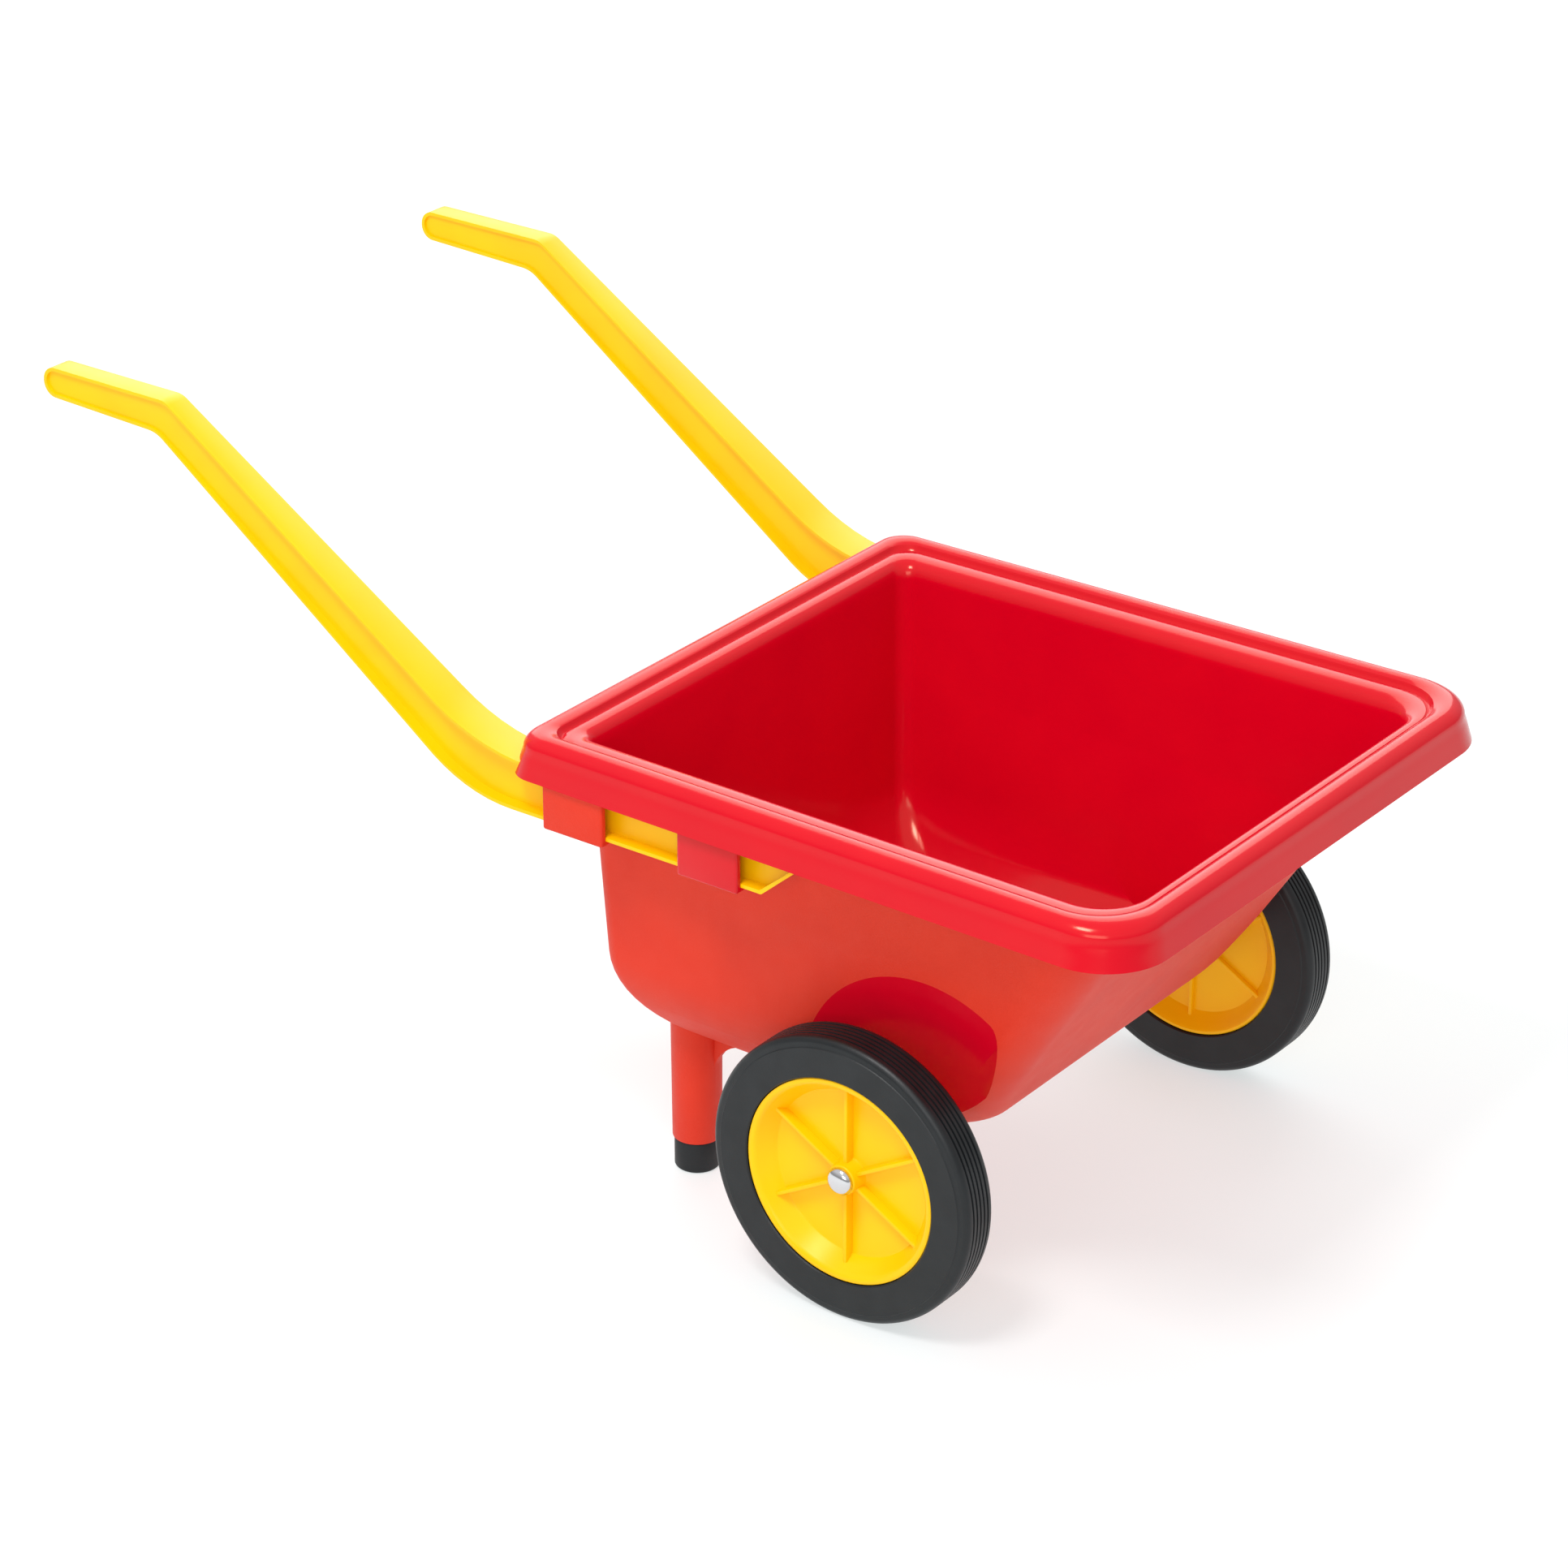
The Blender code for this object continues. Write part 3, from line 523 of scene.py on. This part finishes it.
def tub_sheet():
    levels = ring_levels()
    sheet = ring_stack("barrow_tub", levels)
    open_foot(sheet, levels[0][0])
    point_floor_up(sheet)
    wall = sheet.modifiers.new("wall", "SOLIDIFY")
    wall.thickness = WALL * MM
    wall.offset = -1.0
    wall.use_even_offset = True
    apply_modifiers(sheet)
    return sheet


def hollow_core():
    """The tub's hollow as a solid that ends in the middle of the wall, to trim what is joined outside."""
    grow = WALL / 2
    levels = [(z - grow, body_plan(z, grow)) for z in body_levels(10)]
    core = ring_stack("core", levels)
    close_mesh(core)
    return core


tub = tub_sheet()
print("tub sheet:", len(tub.data.polygons), "faces")

# %% [markdown]
# ## What is moulded onto the tub
# Under each side of the rim are two sleeves that hold the handle's bar. Two round legs stand at the back,
# each with a web that ties it to the floor. In front, a cheek with a boss carries the axle. They could be
# pulled out of the tub's own faces, but those faces don't lie where the sleeves and legs begin. So each
# is extruded or turned by itself, trimmed by the hollow so that nothing pokes into the tub, and joined.

# %% Sizes of the moulded additions
handle_low, handle_high = box_mm("right_handle")
foot_low, foot_high = box_mm("right_foot")
washer_low, washer_high = box_mm("right_washer")
FIT_GAP = 0.4
HANDLE_X = (handle_low.x + handle_high.x) / 2
BAR_HALF = (handle_high.x - handle_low.x) / 2
BAR_LOW = handle_low.z
BAR_TOP = BAR_LOW + 31.5
SLEEVES = ((73.0, 115.0), (168.0, 211.0))  # each from and to, behind the axle
SLEEVE_ROOT_X = 150.0
SLEEVE_WALL = 3.4
LEG_X = (foot_low.x + foot_high.x) / 2
LEG_Y = (foot_low.y + foot_high.y) / 2
LEG_LOW = tub_low.z
LEG_END, LEG_TOP = 14.8, 15.6  # the leg's radius at its foot and where it meets the floor
LEG_WEB_HALF = 2.5
LEG_WEB_REACH = 26.0
LEG_BORE = 9.0
LEG_BORE_DEPTH = 33.6
CHEEK_RADIUS = 17.0
CHEEK_THICKNESS = 4.6
BOSS_ROOT_X = RECESS_X - WALL - 1.0
BOSS_END_X = washer_low.x - 0.3
BOSS_RADIUS = 11.0
AXLE_TUBE_RADIUS = 9.0
AXLE_BORE = 4.3
print("bar from z", round(BAR_LOW, 1), "to", round(BAR_TOP, 1), "legs at x", round(LEG_X, 1))


def prism(name, outline, low_x, high_x):
    """An outline of (y, z) points, filled and extruded along X."""
    bpy.ops.object.select_all(action="DESELECT")
    bpy.ops.mesh.primitive_circle_add(vertices=len(outline), fill_type="NGON", rotation=(0, math.pi / 2, 0))
    piece = named(name)
    settle(piece)
    edit(piece, "FACE")
    mesh = bmesh.from_edit_mesh(piece.data)
    mesh.verts.ensure_lookup_table()
    for vert, (y, z) in zip(mesh.verts, outline):
        vert.co = (low_x * MM, y * MM, z * MM)
    bmesh.update_edit_mesh(piece.data)
    bpy.ops.mesh.extrude_region_move(TRANSFORM_OT_translate={"value": ((high_x - low_x) * MM, 0, 0)})
    done()
    close_mesh(piece)
    return piece


# %% Sleeves, legs and cheeks for one side
def sleeves(side):
    outer_x = HANDLE_X + BAR_HALF + FIT_GAP + SLEEVE_WALL
    low_x, high_x = sorted((side * SLEEVE_ROOT_X, side * outer_x))
    made = []
    for start, end in SLEEVES:
        low = (low_x, AXLE_Y + start, BAR_LOW - FIT_GAP - WALL)
        block = add_box("sleeve", low, (high_x, AXLE_Y + end, SKIRT_Z + 1.5))
        bevel(block, 1.6, 4)
        made.append(block)
    return made


def leg(side):
    """The column and its web, which sweeps forward under the floor in a quarter round."""
    x = side * LEG_X
    top = FLOOR_Z + 45.0  # inside the tub, where the hollow trims it away
    column = add_cone("leg", (x, LEG_Y, LEG_LOW), (x, LEG_Y, top), LEG_END, LEG_TOP, 72)
    bevel(column, 0.8, 2)
    front = LEG_Y - LEG_TOP
    back = LEG_Y + LEG_TOP
    low = FLOOR_Z - LEG_WEB_REACH - 1.0
    outline = [(LEG_Y, low - 6), (front + 1.5, low)]
    for k in range(1, 9):
        angle = math.radians(10 * k)
        y = front + 1.5 - LEG_WEB_REACH * (1 - math.cos(angle))
        outline.append((y, low + LEG_WEB_REACH * math.sin(angle)))
    outline += [(front - LEG_WEB_REACH, FLOOR_Z + 8), (front - LEG_WEB_REACH, top)]
    outline += [(back + 9, top), (back + 9, FLOOR_Z + 22), (back - 1.5, FLOOR_Z - 12)]
    web = prism("leg_web", outline, x - LEG_WEB_HALF, x + LEG_WEB_HALF)
    bevel(web, 0.6, 2)
    return [column, web]


def recess_cone(name, side, start_x):
    """The shallow cone of a wheel recess, opening outwards from start_x."""
    y, z = RECESS_AT
    start = (side * start_x, y, z)
    end = (side * (start_x + RECESS_DEEP), y, z)
    return add_cone(name, start, end, RECESS_INNER, RECESS_OUTER, 160)


def cheek(side):
    y, z = AXLE_Y, AXLE_Z
    outline = [(y - 52, z + 60), (y - 36, z + 34)]
    outline += arc((y, z - 1), CHEEK_RADIUS, 200, 340, 14)
    outline += [(y + 50, z + 34), (y + 62, z + 60)]
    inner_x = RECESS_X - WALL
    low_x, high_x = sorted((side * inner_x, side * (inner_x + CHEEK_THICKNESS)))
    return prism("cheek", outline, low_x, high_x)


# %% Join everything to the sheet
def axle_bar(name, half_length, radius):
    """A round bar on the axle's line."""
    return add_cone(name, (-half_length, AXLE_Y, AXLE_Z), (half_length, AXLE_Y, AXLE_Z), radius, radius, 48)


for side in (-1, 1):
    for addition in [*sleeves(side), *leg(side), cheek(side)]:
        combine(addition, hollow_core(), "DIFFERENCE")
        combine(tub, addition, "UNION")
    # Inside the recess the wall bulges into the tub and keeps its thickness.
    bulge = recess_cone("pocket", side, RECESS_X - WALL)
    combine(bulge, hollow_core(), "INTERSECT")
    combine(tub, bulge, "UNION")
combine(tub, axle_bar("tube", RECESS_X - 1.0, AXLE_TUBE_RADIUS), "UNION")
print("tub with additions:", len(tub.data.polygons), "faces")


# %% [markdown]
# ## Cuts in the tub
# The wheel recess is a shallow cone cut into each side. The way for the handle's bar goes through both
# sleeves and notches the skirt at the back. The legs are bored for their rubber feet, and the rod's bore
# runs from side to side. Boolean cuts do what the mould's own cores do, and need no matching of vertices.


# %% Recess, bar way and bores
def bar_way(side):
    """The room for the handle's bar, which also lets its bend rise through the back of the skirt."""
    half = BAR_HALF + FIT_GAP
    low_x, high_x = sorted((side * (HANDLE_X - half), side * (HANDLE_X + half)))
    y = AXLE_Y
    low_z = BAR_LOW - FIT_GAP
    outline = [(y + 15, low_z), (y + 15, BAR_TOP + FIT_GAP), (y + 214, BAR_TOP + FIT_GAP)]
    outline += [(y + 228, BAR_TOP + 1.6), (y + 245, BAR_TOP + 5.5)]
    outline += [(y + 260, BAR_TOP + 12.0), (y + 260, low_z)]
    return prism("bar_way", outline, low_x, high_x)


def leg_bore(side):
    x = side * LEG_X
    top = LEG_LOW + LEG_BORE_DEPTH
    return add_cone("bore", (x, LEG_Y, 0), (x, LEG_Y, top), LEG_BORE, LEG_BORE, 48)


def boss(side):
    root = (side * BOSS_ROOT_X, AXLE_Y, AXLE_Z)
    end = (side * BOSS_END_X, AXLE_Y, AXLE_Z)
    return add_cone("boss", root, end, BOSS_RADIUS + 1.0, BOSS_RADIUS, 64)


for side in (-1, 1):
    for cutter in (recess_cone("recess", side, RECESS_X), bar_way(side), leg_bore(side)):
        combine(tub, cutter, "DIFFERENCE")
    combine(tub, boss(side), "UNION")
combine(tub, axle_bar("rod_way", tub_high.x, AXLE_BORE), "DIFFERENCE")
print("finished tub:", len(tub.data.polygons), "faces")

# %% [markdown]
# ## Which face has which finish
# The tub is one piece, but its mould was polished in some places and grained in others. The faces could be
# picked by hand, but a rule can be read and checked. So each face is given a finish by where it lies: the
# rim, the inside and the wheel recess are polished, and the rest of the outside is grained. The faces
# become triangles first, because the middle of a large face can lie over a hole.


# %% Give the tub its finishes
def is_recess(x, y, z):
    from_axis = math.hypot(y - RECESS_AT[0], z - RECESS_AT[1])
    outwards = abs(x) - RECESS_X
    return outwards >= -0.2 and from_axis <= RECESS_INNER + RECESS_SPREAD * outwards + 0.6


def is_beyond(x, y, sizes, edge):
    """Whether a place lies outside a ring's rounded rectangle by more than edge."""
    half, front, back, front_radius, back_radius = sizes
    across = abs(x) / (1 - PLAN_TAPER * (y - RIM_MIDDLE))
    if across > half + edge or y < front - edge or y > back + edge:
        return True
    forward = y < RIM_MIDDLE
    radius = front_radius if forward else back_radius
    corner_x = across - (half - radius)
    corner_y = front + radius - y if forward else y - (back - radius)
    return corner_x > 0 and corner_y > 0 and math.hypot(corner_x, corner_y) > radius + edge


def is_grained(x, y, z):
    """Below the ledge, outside the middle of the wall, and in neither the skirt nor the recess."""
    if z > WALL_TOP_Z or (z > SKIRT_Z and is_beyond(x, y, rim_plan(6.0, 0.0), 0.0)):
        return False
    outside = z < FLOOR_Z - 1.5 or is_beyond(x, y, body_plan(max(z, FLOOR_Z)), 1.5)
    return outside and not is_recess(x, y, z)


edit(tub, "FACE")
bpy.ops.mesh.quads_convert_to_tris(quad_method="BEAUTY", ngon_method="BEAUTY")
done()
tub.data.materials.clear()
tub.data.materials.append(RED_POLISHED)
tub.data.materials.append(RED_GRAINED)
for face in tub.data.polygons:
    x, y, z = face.center / MM
    face.material_index = int(is_grained(x, y, z))
shade(tub, 28)
hand_over(tub, "barrow", "tub")

# %% [markdown]
# ## Handles
# Each handle is a yellow I-section moulding: a web with a flange all round, narrow at the grip and wide in
# the sleeves. It could be extruded again from its outline, but the solid part has the right section
# already. So a welded copy of it gets the small rounded edges that let a moulding leave its mould.


# %% Handles
def merged_copy(node, name):
    """A copy of a solid part as one welded mesh with its flat faces whole."""
    piece = bpy.data.objects.new(name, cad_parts[node].data.copy())
    bpy.context.scene.collection.objects.link(piece)
    edit(piece)
    bpy.ops.mesh.remove_doubles(threshold=0.00001)
    bpy.ops.mesh.dissolve_limited(angle_limit=math.radians(0.6))
    done()
    return piece


for side, word in SIDES:
    handle = merged_copy(word + "_handle", word + "_handle_moulding")
    bevel(handle, 0.8, 3, 35)
    finish(handle, YELLOW, 35)
    hand_over(handle, "barrow", word + "_handle")
    print(handle.name, len(handle.data.polygons), "faces")

# %% [markdown]
# ## Turned pieces
# Wheels, tyres, caps and feet are round. A cylinder could be inset and pushed about, but the section is
# what a turner would draw. So the half section is drawn as a line of points, and the spin operator turns
# it into a closed ring.


# %% Spin a section
def spin_section(name, section, steps, axis_x=True):
    """Turns (radius, place along the axis) points about the axle's direction, or about Z."""
    bpy.ops.object.select_all(action="DESELECT")
    bpy.ops.mesh.primitive_circle_add(vertices=len(section), fill_type="NOTHING")
    piece = named(name)
    settle(piece)
    edit(piece)
    mesh = bmesh.from_edit_mesh(piece.data)
    mesh.verts.ensure_lookup_table()
    for vert, (radius, along) in zip(mesh.verts, section):
        vert.co = (along * MM, 0, radius * MM) if axis_x else (radius * MM, 0, along * MM)
    bmesh.update_edit_mesh(piece.data)
    axis = (1, 0, 0) if axis_x else (0, 0, 1)
    bpy.ops.mesh.spin(steps=steps, angle=2 * math.pi, center=(0, 0, 0), axis=axis)
    bpy.ops.mesh.select_all(action="SELECT")
    bpy.ops.mesh.remove_doubles(threshold=0.00002)
    bpy.ops.mesh.normals_make_consistent(inside=False)
    done()
    return piece


# %% [markdown]
# ## Wheels
# A yellow wheel has a flanged edge that grips the tyre, a dished face, a thin web with six ribs on both
# sides, and a long hub. Each rib runs right across, so three bevelled blocks joined to the spun section
# make all six, and the hub is bored last, through the ribs.

# %% Wheel sizes and section
wheel_low, wheel_high = box_mm("right_wheel")
tyre_low, tyre_high = box_mm("right_tyre")
WHEEL_FACE = wheel_high.x
WHEEL_RADIUS = (wheel_high.z - wheel_low.z) / 2
WHEEL_WIDTH = 25.0
HUB_LENGTH = WHEEL_FACE - wheel_low.x
WHEEL_WEB = 3.0
RIB_HALF = 1.2
RIB_OUT, RIB_IN = 6.2, 3.1  # how far a rib stands out of the web on each side
SEAT_DEPTH = 4.0  # of the groove that the tyre sits in
TYRE_RADIUS = (tyre_high.z - tyre_low.z) / 2
TYRE_WIDTH = tyre_high.x - tyre_low.x
print("wheel", round(2 * WHEEL_RADIUS, 1), "mm, tyre", round(2 * TYRE_RADIUS, 1), "mm across")


def put_on_axle(piece, side):
    """A section is drawn with the wheel's outer face at 0 and the inside at +, and here faces outwards."""
    for vert in piece.data.vertices:
        vert.co.x = side * (WHEEL_FACE * MM - vert.co.x)
        vert.co.y += AXLE_Y * MM
        vert.co.z += AXLE_Z * MM
    close_mesh(piece)


def wheel_section():
    lip = WHEEL_RADIUS
    width = WHEEL_WIDTH
    web_out = width / 2
    section = [(3.0, 2.5), (8.0, 2.5), *arc((8.0, 3.7), 1.2, -90, 0, 4)]
    section += [(9.9, web_out - 1.6), (10.6, web_out - 0.4), (11.8, web_out), (lip - 13.0, web_out)]
    section += [(lip - 11.6, web_out - 0.4), (lip - 10.7, web_out - 1.4)]
    section += [(lip - 5.0, 2.2), (lip - 4.0, 0.9)]
    section += [(lip - 3.0, 0.25), (lip - 2.0, 0.0), (lip - 0.7, 0.0)]
    section += [(lip - 0.2, 0.2), (lip, 0.7), (lip, 2.5)]
    section += [(lip - SEAT_DEPTH, 3.5), (lip - SEAT_DEPTH, width - 3.5), (lip, width - 2.5)]
    section += [(lip, width - 0.6)]
    section += [(lip - 0.6, width), (lip - 2.2, width), (lip - 3.4, width - 0.8), (lip - 6.5, width - 5.0)]
    section += [(lip - 11.5, web_out + WHEEL_WEB), (10.4, web_out + WHEEL_WEB)]
    section += [(9.6, HUB_LENGTH), (3.0, HUB_LENGTH)]
    return section


def make_wheel(side, word):
    wheel = spin_section(word + "_wheel_moulding", wheel_section(), 128)
    reach = WHEEL_RADIUS - 4.6
    web_out = WHEEL_WIDTH / 2
    low = (web_out - RIB_OUT, -RIB_HALF, -reach)
    high = (web_out + WHEEL_WEB + RIB_IN, RIB_HALF, reach)
    for k in range(3):
        rib = add_box("rib", low, high)
        bevel(rib, 0.5, 2)
        edit(rib)
        turn = math.pi * k / 3 + 0.001  # a hair off, so that no rib's face meets a vertex of the web
        bpy.ops.transform.rotate(value=turn, orient_axis="X", center_override=(0, 0, 0))
        done()
        combine(wheel, rib, "UNION")
    bore = add_cone("bore", (-5, 0, 0), (2 * HUB_LENGTH, 0, 0), AXLE_BORE, AXLE_BORE, 64)
    combine(wheel, bore, "DIFFERENCE")
    put_on_axle(wheel, side)
    finish(wheel, YELLOW, 30)
    hand_over(wheel, word + "_wheel_body", word + "_wheel")
    print(wheel.name, len(wheel.data.polygons), "faces")


# %% [markdown]
# ## Tyres
# The tyre is a solid rubber ring. Its side is flat with a small step near the edge, its shoulder is round,
# and fine rings run round the tread. The rings could be a bump in the material, but their edges show
# against the floor, so they are cut into the section.


# %% Tyre section
SHOULDER = 5.0  # width of each round shoulder
TREAD_RINGS = 5
RING_DEPTH = 1.1
TREAD_PITCH = (TYRE_WIDTH - 2 * SHOULDER) / TREAD_RINGS


def tyre_section():
    seat = WHEEL_RADIUS - SEAT_DEPTH + FIT_GAP
    lip = WHEEL_RADIUS + FIT_GAP
    out = -(TYRE_WIDTH - WHEEL_WIDTH) / 2
    top = TYRE_RADIUS
    side = [(lip, 2.9), (lip, out + 0.7), (lip + 0.7, out), (top - 6.4, out), (top - 5.9, out + 0.5)]
    side += [(top - 5.2, out + 0.7)]
    side += arc((top - 4.4, out + SHOULDER), 4.4, -78, -6, 7)
    tread = []
    for k in range(TREAD_RINGS):
        start = out + SHOULDER + TREAD_PITCH * (k + 0.5) - 0.7
        deep = top - RING_DEPTH
        tread += [(top, start), (deep, start + 0.35), (deep, start + 1.05), (top, start + 1.4)]
    other = [(radius, WHEEL_WIDTH - x) for radius, x in reversed(side)]
    return [(seat, 3.9), *side, *tread, *other, (seat, WHEEL_WIDTH - 3.9)]


def make_tyre(side, word):
    tyre = spin_section(word + "_tyre_ring", tyre_section(), 144)
    put_on_axle(tyre, side)
    finish(tyre, TYRE_RUBBER, 28)
    hand_over(tyre, word + "_wheel_body", word + "_tyre")
    print(tyre.name, len(tyre.data.polygons), "faces")


for side, word in SIDES:
    make_wheel(side, word)
    make_tyre(side, word)

# %% [markdown]
# ## Caps, rod, washers and feet
# A chromed cap is pressed onto each end of the rod. It is a small dome with a rolled edge. The feet are
# rubber plugs with a rounded lower edge. Both are spun, as the wheels are. The rod and the washers can
# hardly be seen, so their solid parts stay and only get a zinc finish.

# %% Caps
cap_low, cap_high = box_mm("right_hub_cap")
DOME_HEIGHT = 3.6
CAP_PLATE = 1.6


def make_cap(side, word):
    outer = WHEEL_FACE - cap_high.x
    inner = WHEEL_FACE - cap_low.x
    radius = (cap_high.z - cap_low.z) / 2
    section = [(0.0, outer)]
    for k in range(1, 10):
        angle = math.radians(9 * k)
        section.append((0.93 * radius * math.sin(angle), outer + DOME_HEIGHT * (1 - math.cos(angle))))
    section += [(radius, outer + 4.0), (radius, inner - 0.6), (radius - 0.5, inner), (AXLE_BORE, inner)]
    section += [(AXLE_BORE, outer + CAP_PLATE), (0.0, outer + CAP_PLATE)]
    cap = spin_section(word + "_chrome_cap", section, 72)
    put_on_axle(cap, side)
    finish(cap, CHROME, 40)
    hand_over(cap, "barrow", word + "_hub_cap")
    print(cap.name, round(2 * radius, 1), "mm across")


for side, word in SIDES:
    make_cap(side, word)


# %% Feet
def make_foot(side, word):
    radius = (foot_high.x - foot_low.x) / 2
    plug = LEG_BORE - FIT_GAP
    shoulder = LEG_LOW - FIT_GAP
    top = foot_high.z
    section = [(0.0, 0.0), (radius - 2.0, 0.0)]
    section += arc((radius - 2.0, 2.0), 2.0, -72, 0, 5)
    section += [(radius, shoulder - 1.0), (radius - 0.3, shoulder - 0.3), (radius - 1.0, shoulder)]
    section += [(plug, shoulder), (plug, top - 2.5), (plug - 1.5, top), (0.0, top)]
    foot = spin_section(word + "_rubber_foot", section, 72, axis_x=False)
    for vert in foot.data.vertices:
        vert.co.x += side * LEG_X * MM
        vert.co.y += LEG_Y * MM
    close_mesh(foot)
    finish(foot, FOOT_RUBBER, 40)
    hand_over(foot, "barrow", word + "_foot")
    print(foot.name, round(top, 1), "mm high")


for side, word in SIDES:
    make_foot(side, word)

# %% Rod and washers keep their solid parts
for name in ("axle", "left_washer", "right_washer"):
    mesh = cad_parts[name].data
    mesh.materials.clear()
    mesh.materials.append(ZINC)

# %% [markdown]
# ## Floor, light and camera
# The barrow stands on plain white, as on a light table: the floor glows a little, so that it stays white
# and the shadow stays pale. A pale surround gives much of the light, darker near the horizon so that the
# gloss has something to show. Three rectangular lamps help it: a key from the upper left throws the
# shadow, a fill from the front left lights the near side, and a wide, soft one behind draws the bright
# streaks on the rim. The colours are shown as they are, with no film curve.

# %% Floor and light
bpy.ops.object.select_all(action="DESELECT")
bpy.ops.mesh.primitive_plane_add(size=120, location=(0, 0, 0))
floor = named("studio_floor")
floor_material, _, floor_shader, _ = new_material("matt_white_paper", "#A9A9A9", 0.95)
floor_shader.inputs["Specular IOR Level"].default_value = 0.0
floor_shader.inputs["Emission Color"].default_value = (0.95, 1, 1, 1)
floor_shader.inputs["Emission Strength"].default_value = 0.6
floor.data.materials.append(floor_material)

world = bpy.data.worlds.new("studio")
bpy.context.scene.world = world
world.use_nodes = True
sky = world.node_tree
sky_place = add_node(sky, "ShaderNodeTexCoord")
sky_height = add_node(sky, "ShaderNodeSeparateXYZ", None, Vector=sky_place.outputs["Generated"])
sky_ramp = add_node(sky, "ShaderNodeValToRGB", None, Fac=sky_height.outputs["Z"])
sky_ramp.color_ramp.elements[0].position = 0.05
sky_ramp.color_ramp.elements[0].color = (0.42, 0.42, 0.42, 1)
sky_ramp.color_ramp.elements[1].position = 0.55
sky_ramp.color_ramp.elements[1].color = (1, 1, 1, 1)
sky.links.new(sky_ramp.outputs["Color"], sky.nodes["Background"].inputs["Color"])
sky.nodes["Background"].inputs["Strength"].default_value = 0.78


def add_light(name, place, target, width, height, power):
    """A rectangular lamp, in metres and watts, turned towards a place on the barrow."""
    light = bpy.data.lights.new(name, "AREA")
    light.shape = "RECTANGLE"
    light.size = width
    light.size_y = height
    light.energy = power
    lamp = bpy.data.objects.new(name, light)
    lamp.location = place
    lamp.rotation_euler = (Vector(target) - Vector(place)).to_track_quat("-Z", "Y").to_euler()
    lamp.visible_camera = False
    bpy.context.scene.collection.objects.link(lamp)


add_light("key", (-1.2, -0.2, 2.2), (0, -0.1, 0.15), 0.6, 0.6, 26)
add_light("fill", (-2.4, -1.3, 1.3), (0, -0.1, 0.15), 1.5, 1.0, 18)
add_light("backdrop", (1.9, 1.4, 1.9), (0, -0.1, 0.25), 3.0, 2.6, 52)
bpy.context.scene.view_settings.view_transform = "Standard"

# %% [markdown]
# ## Camera
# The camera looks down on the near side of the nose with a long lens. It could be aimed with a constraint,
# but its place is fixed, so two directions are enough: BACK points from the scene to the camera, and RIGHT
# points to the right-hand side of the view.

# %% Camera
BACK = Vector((-0.7211, -0.5369, 0.4379)).normalized()
RIGHT = Vector((0.5972, -0.8021, 0.0)).normalized()
camera = bpy.data.objects.new("camera", bpy.data.cameras.new("camera"))
camera.data.lens = 112.25
camera.data.sensor_width = 36.0
turn = Matrix((RIGHT, BACK.cross(RIGHT), BACK)).transposed().to_4x4()
camera.matrix_world = Matrix.Translation((-2.0963, AXLE_Y * MM - 1.3795, 1.4796)) @ turn
bpy.context.scene.collection.objects.link(camera)
bpy.context.scene.camera = camera
